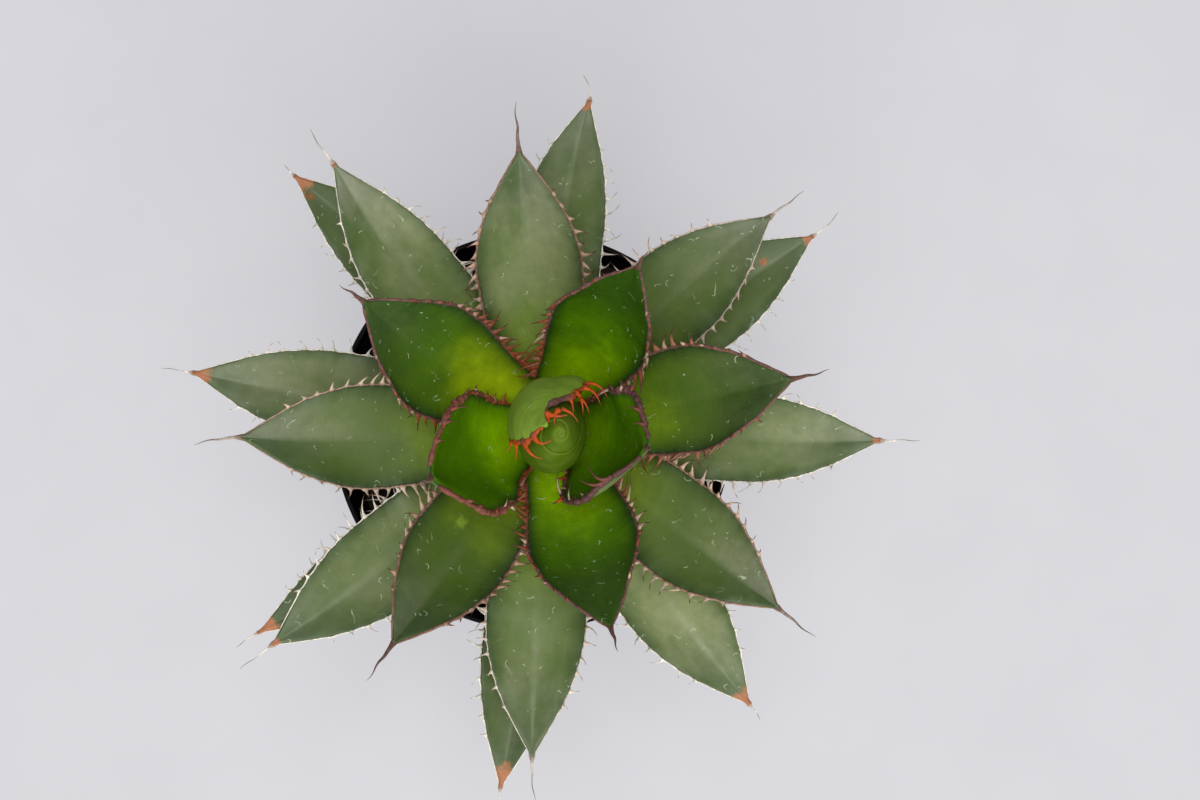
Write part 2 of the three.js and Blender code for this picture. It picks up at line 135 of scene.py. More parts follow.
# Long teeth of the rolled leaf: side, place along it, control point and end from the root in mm,
# girth in mm and shade from 0 to 1
BUD_TEETH = (
    (-1, 0.50, (3.1, 0.6, 1.0), (4.9, -3.5, -0.6), 0.40, 0.1),
    (-1, 0.58, (2.9, -0.2, 1.0), (3.9, -4.3, 0.0), 0.42, 0.5),
    (-1, 0.67, (1.9, -1.0, 1.0), (1.7, -5.3, 1.0), 0.45, 0.7),
    (-1, 0.74, (0.9, -1.6, 1.0), (0.8, -3.9, 0.8), 0.38, 0.8),
    (1, 0.90, (1.1, -3.2, 1.2), (4.6, -0.6, 1.4), 0.50, 0.3),
    (1, 0.80, (1.1, -3.9, 1.0), (4.5, -3.9, 0.8), 0.50, 0.3),
    (1, 0.68, (0.3, -2.1, 0.4), (0.0, -4.5, -0.8), 0.42, 0.6),
    (1, 0.58, (-0.7, -1.1, 0.2), (-1.3, -2.9, -0.8), 0.30, 0.2),
)
# Tips of the leaves inside: root, control point and end, each with x and y from the bud's axis and its
# height, then girth and shade
INNER_TEETH = (
    ((2.0, 4.6, 149.6), (0.9, 3.6, 150.8), (1.2, 1.2, 151.2), 0.55, 0.4),
    ((-0.4, 3.9, 149.8), (1.6, 2.9, 151.0), (4.4, 3.7, 150.4), 0.60, 0.5),
    ((-0.5, 3.6, 149.8), (0.3, 2.2, 150.8), (-1.5, 0.9, 150.4), 0.50, 0.3),
    ((3.2, 4.9, 148.6), (5.8, 4.0, 149.2), (6.6, 1.6, 147.0), 0.28, 0.2),
    ((7.2, 7.2, 141.0), (8.8, 5.8, 142.0), (8.9, 3.8, 141.0), 0.25, 0.1),
)

# Long teeth of the two cups round the bud: side, place along the leaf, control point and end from
# the root in mm, shade
CUP_21_HOOKS = (
    (-1, 0.80, (1.8, 0.9, 0.6), (4.6, 0.8, 0.6), 0.6),
    (-1, 0.87, (1.3, 0.8, 0.5), (3.1, 0.6, 0.4), 0.6),
    (-1, 0.925, (1.0, 0.5, 0.5), (2.1, 0.3, 0.3), 0.6),
    (-1, 0.60, (0.2, 1.1, 0.6), (1.4, 2.2, 0.8), 0.4),
    (-1, 0.42, (-0.3, 0.9, 0.6), (0.2, 1.9, 1.0), 0.9),
    (-1, 0.24, (-0.2, 1.0, 0.6), (0.0, 2.1, 1.0), 0.3),
    (-1, 0.17, (0.0, 1.0, 0.6), (0.4, 2.3, 1.0), 0.9),
    (-1, 0.09, (0.2, 1.1, 0.6), (0.9, 2.4, 1.0), 0.5),
    (1, 0.90, (1.3, 1.1, 0.4), (2.3, -0.3, 0.2), 0.6),
    (1, 0.86, (0.7, 0.9, 0.4), (1.7, 0.5, 0.2), 0.6),
    (1, 0.60, (0.9, -0.8, 0.5), (2.6, -2.4, 0.4), 1.0),
    (1, 0.52, (-0.9, 0.7, 0.6), (-1.9, 0.3, 0.6), 0.9),
)
CUP_22_HOOKS = (
    (1, 0.90, (-1.5, 0.9, 0.4), (-3.6, 1.2, 0.3), 0.6),
    (1, 0.945, (-1.2, 0.9, 0.4), (-3.1, 0.4, 0.3), 0.6),
    (1, 0.79, (0.1, 1.2, 0.6), (0.9, 2.8, 0.8), 0.2),
    (1, 0.72, (-0.4, 1.0, 0.6), (0.1, 2.4, 0.9), 0.9),
    (1, 0.65, (-0.8, 1.0, 0.5), (-1.6, 1.8, 0.9), 0.3),
    (-1, 0.89, (-3.5, -1.5, 0.8), (-5.2, 3.5, 1.0), 0.6),
    (-1, 0.865, (-2.8, -1.5, 0.6), (-6.0, 1.2, 0.8), 0.6),
    (-1, 0.50, (-1.3, -1.2, 0.4), (-2.7, -1.5, 0.4), 0.1),
    (-1, 0.33, (-0.8, -0.8, 0.4), (-1.8, -1.3, 0.4), 0.9),
    (-1, 0.25, (-1.2, 0.3, 0.4), (-2.6, 0.0, 0.4), 0.1),
)

# Fineness of the leaves, and where their blades and margins begin and end along them
BLADE_ROWS = 84
BLADE_COLUMNS = 23
BLADE_FOOT = -0.03
BLADE_END = 0.992
BLADE_CROWDING = 0.92
MARGIN_ROWS = 150
MARGIN_FOOT = -0.01
MARGIN_END = 0.975
MARGIN_SIDES = 8
TOOTH_SIDES = 8
SPINE_SIDES = 12

# Detail of the leaves, in mm or as a share of their length
EDGE_ROUNDING = 6
TIP_CHANNEL = 0.44
FLARE_LENGTH = 0.13
MARGIN_INSET = 0.2
SCALLOP = 0.3
SCALLOP_LENGTH = 0.9
EDGE_WAVE = 0.28
EDGE_WAVE_LENGTHS = (17, 9.5)
TOOTH_FIRST = 0.07
TOOTH_LAST = 0.83
TOOTH_PACKING = 1.35
TOOTH_WANDER = 0.007
HOOK_GIRTH = 0.45
HOOK_FOOT = 0.9
HOOK_CLEAR = 0.06
BUD_HOOK_FOOT = 0.8
# Stations along a tooth, from its sunk root to its tip
THORN_STATIONS = (-0.08, 0, 0.05, 0.11, 0.19, 0.3, 0.44, 0.6, 0.76, 0.9, 0.985)
# Stations of the sheath of a spine along the leaf's tip
SHEATH_STATIONS = (0.955, 0.968, 0.98, 0.99)
GRAIN_STEP = 41

# Soil's top
SOIL_RINGS = 60
SOIL_SIDES = 150
CRUMB_COUNT = 260
CRUMB_SIZE = (0.5, 1.5)
CRUMB_RINGS = 5
CRUMB_SIDES = 7

# Floor and studio light, in metres and watts
FLOOR_REACH = 4
FLOOR_DROP = 0.0001
FLOOR_GLOW = 0.55
STUDIO_GLOW = 0.22
TOP_LIGHT = dict(place=(0, 0.15, 1.3), size=0.6, power=6, colour=(1, 1, 1))
FRONT_LIGHT = dict(place=(0.1, -0.8, 1.0), size=1.7, power=15, colour=(1, 0.99, 0.97))
AIM_HEIGHT = 0.1

# Camera: the photograph looks straight down from here
CAMERA = (16.9, 7.8, 738)
SENSOR = 36
LENS = 77.8

# What a leaf has where its row below doesn't say otherwise.
# sweep and aim turn its tip and its spine sideways, in degrees. bloom is how grey its waxy coat is, clear
# where that starts, and the value after clear how much more of it lies on one half toward the tip, with
# the
# sign of that half: a painted sheen, the front light's reflection off the half of the channel that faces
# it.
# tone is how light the leaf is, partly its own green and partly painted light: how brightly it seems lit.
# glow and yellow are how bright and how yellow its base is, partly the paler young tissue and partly
# painted light shining through the flesh. dead is the length of its withered tip, and rim how much thicker
# its edge is. shoulders give for a side its squareness near the tip, its share of the width, how far it
# flares and where. marks are single blemishes: place along, place across in mm, size in mm and kind.
# hooks are teeth placed one by one.
LEAF_DEFAULTS = dict(
    sweep=0, aim=0, bloom=0, clear=None, haze=0, tone=1, glow=1, yellow=0.2, dead=0, rim=0,
    shoulders={}, marks=(), hooks=(), teeth_each_side=20,
)

# One row for each open leaf, from the oldest to the youngest. age counts the leaves in the order they
# grew, turn is the azimuth of the tip and rise the mean slope of the leaf in degrees. reach, width and
# spine are in mm. The leaf of age 1 doesn't show in the photograph.
LEAVES = [
    dict(age=0, turn=215.5, reach=89.5, rise=8, width=18, sweep=-3, spine=6, aim=-4,
         bloom=0.2, tone=0.8, dead=7),
    dict(age=2, turn=135.5, reach=89, rise=8, width=21, sweep=3, spine=3,
         bloom=0.25, tone=0.95, dead=6,
         marks=((0.905, 1.4, 1.7, "rust"),)),
    dict(age=3, turn=262.5, reach=91, rise=9, width=21, sweep=-1.5, spine=5, aim=6,
         bloom=0.3, tone=0.84, dead=7),
    dict(age=4, turn=35.5, reach=81, rise=10, width=23, sweep=-2, spine=8, aim=9,
         bloom=0.35, tone=0.95, dead=3.5,
         marks=((0.8, 1.0, 1.5, "rust"),)),
    dict(age=5, turn=171.5, reach=89, rise=9, width=23, sweep=-1, spine=7, aim=1,
         bloom=0.7, dead=5.5),
    dict(age=6, turn=306, reach=85, rise=11, width=24.5, sweep=1.5, spine=4,
         bloom=0.8, tone=1.15, dead=5),
    dict(age=7, turn=82.5, reach=81, rise=11, width=22, sweep=-5, spine=6, aim=30,
         bloom=0.5, dead=3.5),
    dict(age=8, turn=218.5, reach=86, rise=13, width=24.5, sweep=-2.5, spine=9, aim=-1,
         bloom=0.5, haze=0.3, tone=0.92, dead=3),
    dict(age=9, turn=357.5, reach=82, rise=11, width=22.5, sweep=1.5, spine=9, aim=5,
         bloom=0.72, haze=0.5, tone=1.04, dead=2.5),
    dict(age=10, turn=129, reach=82, rise=16, width=23, sweep=-4, spine=9.5, aim=-5,
         bloom=0.85, haze=-0.6, tone=1.05, dead=1.5),
    dict(age=11, turn=267.5, reach=80.5, rise=15, width=25.5, sweep=1, spine=10, aim=9,
         bloom=0.66, tone=1.05),
    dict(age=12, turn=43, reach=74, rise=20, width=25, sweep=-4, spine=10, aim=-9,
         bloom=0.55, haze=0.05, tone=0.9),
    dict(age=13, turn=182, reach=73.5, rise=20, width=26.5, sweep=-2, spine=11, aim=9,
         bloom=0.5, haze=-0.7, tone=0.86),
    dict(age=14, turn=322, reach=70.5, rise=23, width=25.5, spine=11.5,
         bloom=0.55, haze=1, tone=0.92),
    dict(age=15, turn=95.5, reach=66, rise=25, width=27, sweep=-1, spine=12.5, aim=-3,
         bloom=0.75, haze=-0.25, tone=0.97, clear=0),
    dict(age=16, turn=235, reach=62, rise=34, width=27, spine=12,
         bloom=0.35, haze=-0.4, tone=0.85, yellow=0.8,
         marks=((0.4, -3.3, 2.2, "pale"),)),
    dict(age=17, turn=11, reach=59, rise=36, width=27.5, spine=11, aim=4,
         bloom=0.38, haze=0.2, tone=0.85, glow=0.8, yellow=0.5),
    dict(age=18, turn=145, reach=51, rise=44, width=29.5, sweep=-4, spine=9.5, aim=-1,
         bloom=0.12, tone=0.98, yellow=1),
    dict(age=19, turn=288.5, reach=48.5, rise=47, width=29, spine=9, aim=2,
         bloom=0.1, tone=1.28),
    dict(age=20, turn=59.5, reach=42.5, rise=54, width=27.5, spine=9,
         bloom=0.03, tone=1.04),
    dict(age=21, turn=204, reach=28.5, rise=62, width=30, sweep=5, spine=7,
         tone=1.45, glow=0.65, rim=0.6, teeth_each_side=15,
         shoulders={1: (4, 1.2, 4.4, 0.79), -1: (4, 1.12, 2.2, 0.81)},
         hooks=CUP_21_HOOKS),
    dict(age=22, turn=349, reach=24, rise=68, width=30.5, sweep=5, spine=7,
         tone=1.38, glow=0.4, rim=0.3, teeth_each_side=15,
         shoulders={1: (4, 1, 5.4, 0.82), -1: (3, 1.35, 5.2, 0.7)},
         hooks=CUP_22_HOOKS),
]

# Colours, linear red, green, blue
OLD_GREEN = (0.088, 0.150, 0.016)
OLD_DEEP = (0.045, 0.090, 0.022)
# The glow colours of the bases are partly their paler tissue and partly painted light shining through the
# flesh.
OLD_GLOW = (0.19, 0.28, 0.015)
YOUNG_GREEN = (0.066, 0.165, 0.001)
YOUNG_DEEP = (0.022, 0.063, 0.002)
BUD_GREEN = (0.20, 0.31, 0.03)
BUD_DEEP = (0.15, 0.25, 0.018)
GLOW_GREEN = (0.205, 0.43, 0.0)
GLOW_YELLOW = (0.42, 0.58, 0.0)
BLOOM_GREY = (0.26, 0.295, 0.125)
BLOOM_TIP = (0.205, 0.225, 0.14)
MARK_PALE = (0.52, 0.62, 0.42)
DEAD_LIGHT = (0.52, 0.24, 0.10)
DEAD_DARK = (0.33, 0.10, 0.04)
MARKS = {"rust": (0.42, 0.10, 0.02), "pale": (0.27, 0.38, 0.04)}
HORN_CREAM = (0.86, 0.79, 0.68)
HORN_PINK = (0.60, 0.42, 0.31)
HORN_TAN = (0.34, 0.21, 0.135)
HORN_BROWN = (0.20, 0.075, 0.045)
HORN_PURPLE = (0.15, 0.073, 0.056)
HORN_RED = (0.30, 0.075, 0.035)
CUP_RIMS = {21: (0.20, 0.068, 0.045), 22: (0.12, 0.052, 0.048)}
HORN_ORANGE = (0.50, 0.072, 0.006)
HORN_GREY = (0.30, 0.24, 0.20)
HORN_TIP = (0.09, 0.03, 0.022)
# Dark line beside the margin on the upper face: partly the edge's deeper green, partly painted shade along
# the raised margin.
OLD_EDGE_SHADE = (0.05, 0.075, 0.035)
YOUNG_EDGE_SHADE = (0.012, 0.045, 0.01)
CORE_GREEN = (0.068, 0.135, 0.004)
CORE_LIGHT = (0.105, 0.17, 0.012)
CORE_EDGE = (0.20, 0.27, 0.02)
CORE_FOOT_GREEN = (0.14, 0.24, 0.005)
POT_BLACK = (0.003, 0.003, 0.0035)
POT_DUST = (0.014, 0.013, 0.012)
POT_SCUFF = (0.014, 0.014, 0.014)
PEAT_DARK = (0.011, 0.008, 0.006)
PEAT_BROWN = (0.05, 0.034, 0.022)
PEAT_FLAKE = (0.10, 0.07, 0.045)
STEM_GREEN = (0.20, 0.24, 0.06)
STEM_TAN = (0.32, 0.30, 0.14)
PAPER = ((0.30, 0.295, 0.305), (0.315, 0.31, 0.32))
PAPER_GLOW = (0.70, 0.70, 0.735)
STUDIO_GREY = (0.93, 0.94, 1.0)


def mix(a, b, part):
    return a + (b - a) * part


def mix_colour(a, b, part):
    return tuple(mix(x, y, part) for x, y in zip(a, b))


def smooth(low, high, value):
    """0 below low, 1 above high, and a smooth step between them; low may be the larger."""
    part = np.clip((value - low) / (high - low), 0, 1)
    return part * part * (3 - 2 * part)


def grown(leaf, low, high):
    """How far the leaf's age has passed from low to high, as a plain number."""
    return float(smooth(low, high, leaf.age))


def unit(vectors):
    return vectors / np.linalg.norm(vectors, axis=-1, keepdims=True)


# Meshes

class Shell:
    """The points and faces of one piece, gathered part by part, with the values its material reads."""

    def __init__(self):
        self.points = []
        self.faces = []
        self.values = {}
        self.count = 0

    def add(self, points, quads, triangles, **values):
        """Adds one closed body, turned so that its faces point outward."""
        points = np.asarray(points, float)
        halves = np.concatenate([quads[:, [0, 1, 2]], quads[:, [0, 2, 3]], triangles])
        a, b, c = points[halves[:, 0]], points[halves[:, 1]], points[halves[:, 2]]
        if (a * np.cross(b, c)).sum() < 0:
            quads, triangles = quads[:, ::-1], triangles[:, ::-1]
        self.points.append(points)
        self.faces += (quads + self.count).tolist() + (triangles + self.count).tolist()
        for name, value in values.items():
            self.values.setdefault(name, []).append(np.asarray(value, float))
        self.count += len(points)

    def add_loft(self, rings, *names):
        """Adds the body through these rings, whose points have three more numbers for each name."""
        points, quads, triangles = loft(rings)
        values = {name: points[:, 3 * at:3 * at + 3] for at, name in enumerate(names, 1)}
        self.add(points[:, :3], quads, triangles, **values)

    def piece(self, name, material, slot, *nodes):
        """Makes the Blender object, which rides on the plant's one body and stands for these nodes."""
        mesh = bpy.data.meshes.new(name)
        points = np.concatenate(self.points) * MM
        mesh.from_pydata(points.tolist(), [], self.faces)
        for key, parts in self.values.items():
            value = np.concatenate(parts)
            attribute = mesh.attributes.new(key, "FLOAT_VECTOR", "POINT")
            attribute.data.foreach_set("vector", value.astype(np.float32).ravel())
        mesh.shade_smooth()
        mesh.materials.append(material)
        made = bpy.data.objects.new(name, mesh)
        bpy.context.scene.collection.objects.link(made)
        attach(made, "root")
        if nodes:
            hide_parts(*nodes)
        return made


def loft(rings):
    """Points, quads and triangles of the closed body through these rings, with a fan at each end."""
    count, sides = rings.shape[:2]
    points = np.concatenate([rings.reshape(-1, rings.shape[2]), rings[:1].mean(1), rings[-1:].mean(1)])
    side = np.arange(sides)
    after = (side + 1) % sides
    row = sides * np.arange(count - 1)[:, None]
    quads = np.stack([row + side, row + after, row + after + sides, row + side + sides], -1)
    foot, last = np.full(sides, count * sides), (count - 1) * sides
    fans = np.stack([foot, after, side], -1), np.stack([foot + 1, last + side, last + after], -1)
    return points, quads.reshape(-1, 4), np.concatenate(fans)


# Leaf shape

def dome_angle(z):
    """0 on the stem's straight side and rising to a right angle at the top of its dome."""
    return math.asin(max(0, z - STEM_SHOULDER) / (STEM_TOP - STEM_SHOULDER))


def stem_radius(z):
    return STEM_RADIUS * math.cos(dome_angle(z))


def stem_normal(z):
    return math.atan(STEM_RADIUS / (STEM_TOP - STEM_SHOULDER) * math.tan(dome_angle(z)))


def open_leaf(number, row):
    """A leaf whose midrib is an arc in the upright plane of its azimuth."""
    leaf = SimpleNamespace(**{**LEAF_DEFAULTS, **row})
    leaf.name = f"leaf_{number:02d}"
    leaf.stage = "old" if number <= LAST_OLD_LEAF else "young"
    leaf.youth = leaf.age / YOUNGEST_AGE
    leaf.wrap = 0
    arch = mix(OLD_ARCH, YOUNG_ARCH, leaf.youth)
    leaf.angles = [math.radians(leaf.rise + arch), math.radians(leaf.rise - arch)]
    leaf.seat = FIRST_SEAT + SEAT_STEP * leaf.age
    overhang = max(0, leaf.angles[0] - stem_normal(leaf.seat))
    leaf.start = stem_radius(leaf.seat) + 2 * GAP + 0.5 * SEAT_THICKNESS * math.tan(overhang)
    spread = (math.sin(leaf.angles[1]) - math.sin(leaf.angles[0])) / (leaf.angles[1] - leaf.angles[0])
    leaf.length = (leaf.reach - leaf.start) / spread
    leaf.cup = CUP * (1 - 0.6 * leaf.youth)
    leaf.azimuth = math.radians(leaf.turn - leaf.sweep)
    leaf.sweep = math.radians(leaf.sweep)
    leaf.aim = math.radians(leaf.aim)
    leaf.base_half = BASE_WRAP * leaf.start
    leaf.widest_half = leaf.width / 2
    set_teeth(leaf, 200 + number)
    return leaf


def bud_leaf():
    """The outer rolled leaf of the heart, which closes over the axis, so its wrap is an angle."""
    look = dict(LEAF_DEFAULTS, bloom=0.12, glow=0.3, yellow=0.3, tone=1.35, teeth_each_side=9)
    leaf = SimpleNamespace(
        **look, name="bud_leaf", age=BUD_AGE, youth=1, wrap=BUD_HALF_WRAP,
        angles=[math.radians(a) for a in BUD_RISE], azimuth=math.radians(BUD_TURN),
        seat=BUD_SEAT, start=BUD_BASE_RADIUS, length=BUD_LENGTH, cup=0,
    )
    set_teeth(leaf, 300)
    return leaf


def set_teeth(leaf, seed):
    """Phases of the leaf's waves and places of its teeth, which stand closer together near the seat."""
    leaf.random = np.random.default_rng(seed)
    leaf.waves = leaf.random.uniform(0, 2 * math.pi, 6)
    leaf.teeth = {}
    for side in (1, -1):
        part = np.linspace(0, 1, leaf.teeth_each_side) ** TOOTH_PACKING
        wander = leaf.random.uniform(-TOOTH_WANDER, TOOTH_WANDER, leaf.teeth_each_side)
        leaf.teeth[side] = mix(TOOTH_FIRST, TOOTH_LAST, part) + wander


def arc_angle(leaf, s):
    """Slope of the midrib at s."""
    return mix(leaf.angles[0], leaf.angles[1], s)


def midrib(leaf, s):
    """Radius and height of the midrib at s, 0 at the seat and 1 at the tip."""
    angle = arc_angle(leaf, s)
    bend = leaf.length / (leaf.angles[1] - leaf.angles[0])
    radius = leaf.start + bend * (np.sin(angle) - math.sin(leaf.angles[0]))
    if leaf.wrap:
        radius = radius - BUD_CLOSING * smooth(BUD_CLOSES_FROM, 1, s)
    return radius, leaf.seat - bend * (np.cos(angle) - math.cos(leaf.angles[0]))


def half_width(leaf, s, side=1):
    """Half the width at s: of the rolled leaf from its edge's angle, of an open one from its outline."""
    if leaf.wrap:
        radius = np.maximum(AXIS_CLEAR, midrib(leaf, s)[0])
        return np.maximum(TIP_HALF_WIDTH, np.radians(np.interp(s, BUD_EDGE_AT, BUD_EDGE[side])) * radius)
    shoulder, spread, *_ = leaf.shoulders.get(side, (2, 1))
    past = np.maximum(0, (s - WIDEST_AT) / (1 - WIDEST_AT))
    taper = np.maximum(0, 1 - past ** shoulder) ** TIP_TAPER
    swell = np.sin(math.pi / 2 * np.clip(s / WIDEST_AT, 0, 1)) ** 2
    return np.maximum(TIP_HALF_WIDTH, mix(leaf.base_half, leaf.widest_half * spread, swell) * taper)


def thickness(leaf, s, across):
    thin = ROLLED_THINNING if leaf.wrap else 1
    swelling = mix(SEAT_THICKNESS, MID_THICKNESS, s / THICKEST_AT)
    thinning = mix(MID_THICKNESS, TIP_THICKNESS, (s - THICKEST_AT) / (1 - THICKEST_AT))
    middle = np.where(s < THICKEST_AT, swelling, thinning)
    return mix(middle * thin, EDGE_THICKNESS, across * across)


def near_teeth(leaf, s, side):
    """1 at each tooth of this side, fading to 0 within a few millimetres."""
    away = (s[..., None] - leaf.teeth[side]) * leaf.length / SCALLOP_LENGTH
    return np.exp(-away * away).sum(-1)


def scalloped_half(leaf, s, side):
    """Half width with the small hump that each tooth stands on."""
    humps = SCALLOP * near_teeth(leaf, s, side) - 0.4 * SCALLOP
    return half_width(leaf, s, side) + humps * smooth(1.0, 0.9, s)


def surface(leaf, s, v, lift):
    """Points of the leaf: s along, v across in mm, lift above the middle surface."""
    s, v, lift = np.broadcast_arrays(np.asarray(s, float), v, lift)
    radius, height = midrib(leaf, s)
    angle = arc_angle(leaf, s)
    half = half_width(leaf, s)
    raised = lift + leaf.cup * np.clip(2 * s, 0, 1) * v * v / np.maximum(half, CUP_MIN_HALF)
    if not leaf.wrap:
        raised = raised + TIP_CHANNEL * (np.sqrt(v * v + 1) - 1) * smooth(0.4, 0.95, s)
        raised = raised + edge_wave(leaf, s, v, half)
    turned = v / np.maximum(radius, AXIS_CLEAR)
    around = leaf.azimuth + leaf.sweep * s * s + turned
    r = radius - raised * np.sin(angle) + flare(leaf, s, v)
    if leaf.wrap:
        beside = smooth(0.55, 1.3, -turned)
        r = r + BUD_FLARE * beside * np.exp(-((s - BUD_FLARE_AT) / BUD_FLARE_LENGTH) ** 2)
    x, y, z = r * np.cos(around), r * np.sin(around), height + raised * np.cos(angle)
    if leaf.wrap:
        return np.stack([BUD_X + x, BUD_Y + y * BUD_OVAL, z], -1)
    return np.stack([PLANT_X + x, PLANT_Y + y, z], -1)


def flare(leaf, s, v):
    """How far the margins of a cupped leaf stand out from its cup."""
    out = np.zeros(s.shape)
    for side, (_, _, reach, at) in leaf.shoulders.items():
        beside = np.clip(side * v / half_width(leaf, s, side), 0, 1) ** 2.5
        out = out + reach * beside * np.exp(-((s - at) / FLARE_LENGTH) ** 2)
    return out


def edge_wave(leaf, s, v, half):
    """The margins wander up and down a little between the teeth."""
    along = s * leaf.length
    side = np.where(v > 0, leaf.waves[0], leaf.waves[1])
    long, short = (2 * math.pi * along / length for length in EDGE_WAVE_LENGTHS)
    wave = np.sin(long + side) + 0.6 * np.sin(short + 2 * side)
    return EDGE_WAVE * wave * (v / half) ** 4 * smooth(0.05, 0.25, s) * smooth(1.0, 0.85, s)


def relief(leaf, s, across):
    """Slow swellings of the upper face and the shallow groove over the midrib."""
    along = s * leaf.length
    slow = np.sin(along / 9.0 + leaf.waves[2] + 2.2 * across) * np.sin(2.6 * across + leaf.waves[3])
    fine = np.sin(along / 3.1 + leaf.waves[4] + 5 * across * across) * (1 - across ** 2)
    groove = np.exp(-(across / 0.09) ** 2) * smooth(0.15, 0.5, s)
    return 0.13 * slow + 0.035 * fine - 0.12 * groove


def grain_place(leaf, s, v, upper):
    """Where a point lies in the textures, in mm. Each leaf and each face has a region of its own."""
    offset = GRAIN_STEP * (leaf.age + 1)
    return v + offset, s * leaf.length + 0.7 * offset, 20 * upper


def blade(leaf, material, slot):
    """The green blade: a closed loop over its upper and lower faces, carried from the seat to the tip."""
    part = np.linspace(0, 1, BLADE_ROWS)
    s = mix(BLADE_FOOT, BLADE_END, part ** BLADE_CROWDING)
    quarter = np.linspace(-math.pi / 2, math.pi / 2, BLADE_COLUMNS)
    across = np.sin(quarter) * 0.35 + 0.65 * np.linspace(-1, 1, BLADE_COLUMNS)
    loop_across = np.concatenate([across, across[-2:0:-1]])
    upper = np.concatenate([np.ones(BLADE_COLUMNS), np.zeros(BLADE_COLUMNS - 2)])
    upper[[0, BLADE_COLUMNS - 1]] = 0.5
    grid_s = np.repeat(s[:, None], len(loop_across), 1)
    grid_across = np.repeat(loop_across[None], len(s), 0)
    half = np.where(grid_across > 0, *(scalloped_half(leaf, grid_s, side) for side in (1, -1)))
    v = grid_across * np.maximum(0.35, half - MARGIN_INSET)
    rounding = np.sqrt(np.maximum(0, 1 - np.abs(grid_across) ** EDGE_ROUNDING))
    side = np.where(upper > 0.75, 1, np.where(upper < 0.25, -1, 0))[None]
    lift = side * 0.5 * thickness(leaf, grid_s, grid_across) * rounding
    if not leaf.wrap:
        lift = lift + relief(leaf, grid_s, grid_across) * rounding * np.where(side > 0, 1, 0.5)
        thicker = leaf.rim * np.abs(grid_across) ** 4 * smooth(0.3, 0.6, grid_s)
        lift = lift - thicker * rounding * (side < 0)
    shell = Shell()
    place = np.stack([grid_across, grid_s, np.broadcast_to(upper[None], v.shape)], -1)
    grain = np.stack(grain_place(leaf, grid_s, v, place[..., 2]), -1)
    shell.add_loft(np.concatenate([surface(leaf, grid_s, v, lift), place, grain], -1), "place", "grain")
    return shell.piece(f"{leaf.name}_green", material, slot, f"{leaf.name}_blade")


def edge_frame(leaf, s, side, inset):
    """Points of the margin and its directions there: along it to the tip, outward and up."""
    step = 0.002

    def edge(at):
        return surface(leaf, at, side * (scalloped_half(leaf, at, side) - inset), 0)

    point = edge(s)
    along = unit(edge(s + step) - edge(s - step))
    v = side * (scalloped_half(leaf, s, side) - inset)
    beside = surface(leaf, s, v + 0.1 * side, 0) - surface(leaf, s, v - 0.1 * side, 0)
    outward = unit(beside - (beside * along).sum(-1, keepdims=True) * along)
    up = side * np.cross(along, outward)
    return point, along, outward, up


def full_turn(sides):
    return np.linspace(0, 2 * math.pi, sides, endpoint=False)


def tube(centres, first, second, a, b, sides):
    """Rings of an elliptical tube: a along the first direction and b along the second."""
    turn = full_turn(sides)
    return (
        centres[:, None]
        + (a[:, None] * np.cos(turn))[..., None] * first[:, None]
        + (b[:, None] * np.sin(turn))[..., None] * second[:, None]
    )


def add_tube(shell, rings, reach, s, kind, shade):
    """Adds a tube of horn. Its rings carry how far out they are, how far along the leaf and their
    kind: 0 for the margin, 0.5 for a tooth and 1 for the spine."""
    count, sides = rings.shape[:2]
    horn = np.stack([np.broadcast_to(reach, count), np.broadcast_to(s, count), np.full(count, kind)], -1)
    tone = np.full((count, sides, 3), shade)
    shell.add_loft(np.concatenate([rings, np.repeat(horn[:, None], sides, 1), tone], -1), "horn", "tone")


def margin_radius(leaf, s, side):
    """The horny line is thin on old leaves and thick round the cups of the heart."""
    if leaf.wrap and side < 0:
        return 0.42 + 0.4 * np.exp(-((s - 0.77) / 0.08) ** 2)
    if leaf.wrap:
        return mix(0.4, 0.62, smooth(0.6, 0.9, s))
    cup = 0.36 * smooth(0.92, 0.95, leaf.youth) * smooth(0.45, 0.7, s)
    return mix(0.17, 0.43, smooth(0.5, 0.82, leaf.youth)) + cup


def margin_strip(leaf, shell, side, shade=0.5):
    """The horny line along one edge, lumpy and thicker at each tooth."""
    s = np.linspace(MARGIN_FOOT, MARGIN_END, MARGIN_ROWS)
    point, _, outward, up = edge_frame(leaf, s, side, MARGIN_INSET)
    along = s * leaf.length
    lumps = np.sin(along * 2.1 + leaf.waves[2]) * np.sin(along * 0.83 + leaf.waves[3])
    swell = 1 + 0.25 * near_teeth(leaf, s, side) + 0.12 * np.sin(along * 1.9)
    lumpy = 0.12 if leaf.wrap else 0.3 * smooth(0.75, 0.95, leaf.youth)
    swell = swell + lumpy * (lumps + 0.5 * np.sin(along * 5.3))
    taper = mix(0.55, 1, smooth(0.0, 0.2, s)) * mix(0.75, 1, smooth(1, 0.85, s))
    radius = margin_radius(leaf, s, side) * swell * taper
    rings = tube(point, outward, up, radius, 0.85 * radius, MARGIN_SIDES)
    add_tube(shell, rings, np.zeros(len(s)), s, 0, shade)


def thorn(shell, root, control, end, along, s, girth, foot, shade):
    """A tooth on a flat foot along the margin, which leaves root toward control and curves to end."""
    t = np.array(THORN_STATIONS)[:, None]
    ahead = np.maximum(t, 0)
    centres = root + 2 * t * (1 - ahead) * (control - root) + ahead ** 2 * (end - root)
    direction = unit(np.gradient(centres, axis=0))
    wide = unit(along - (direction @ along)[:, None] * direction)
    thin = np.cross(direction, wide)
    slender = girth * (1 - ahead[:, 0]) ** 0.8 + 0.015
    spread = np.exp(-ahead[:, 0] / 0.16)
    rings = tube(centres, wide, thin, slender + foot * spread, slender + 0.16 * spread, TOOTH_SIDES)
    add_tube(shell, rings, np.clip(t[:, 0], 0, 1), s, 0.5, shade)


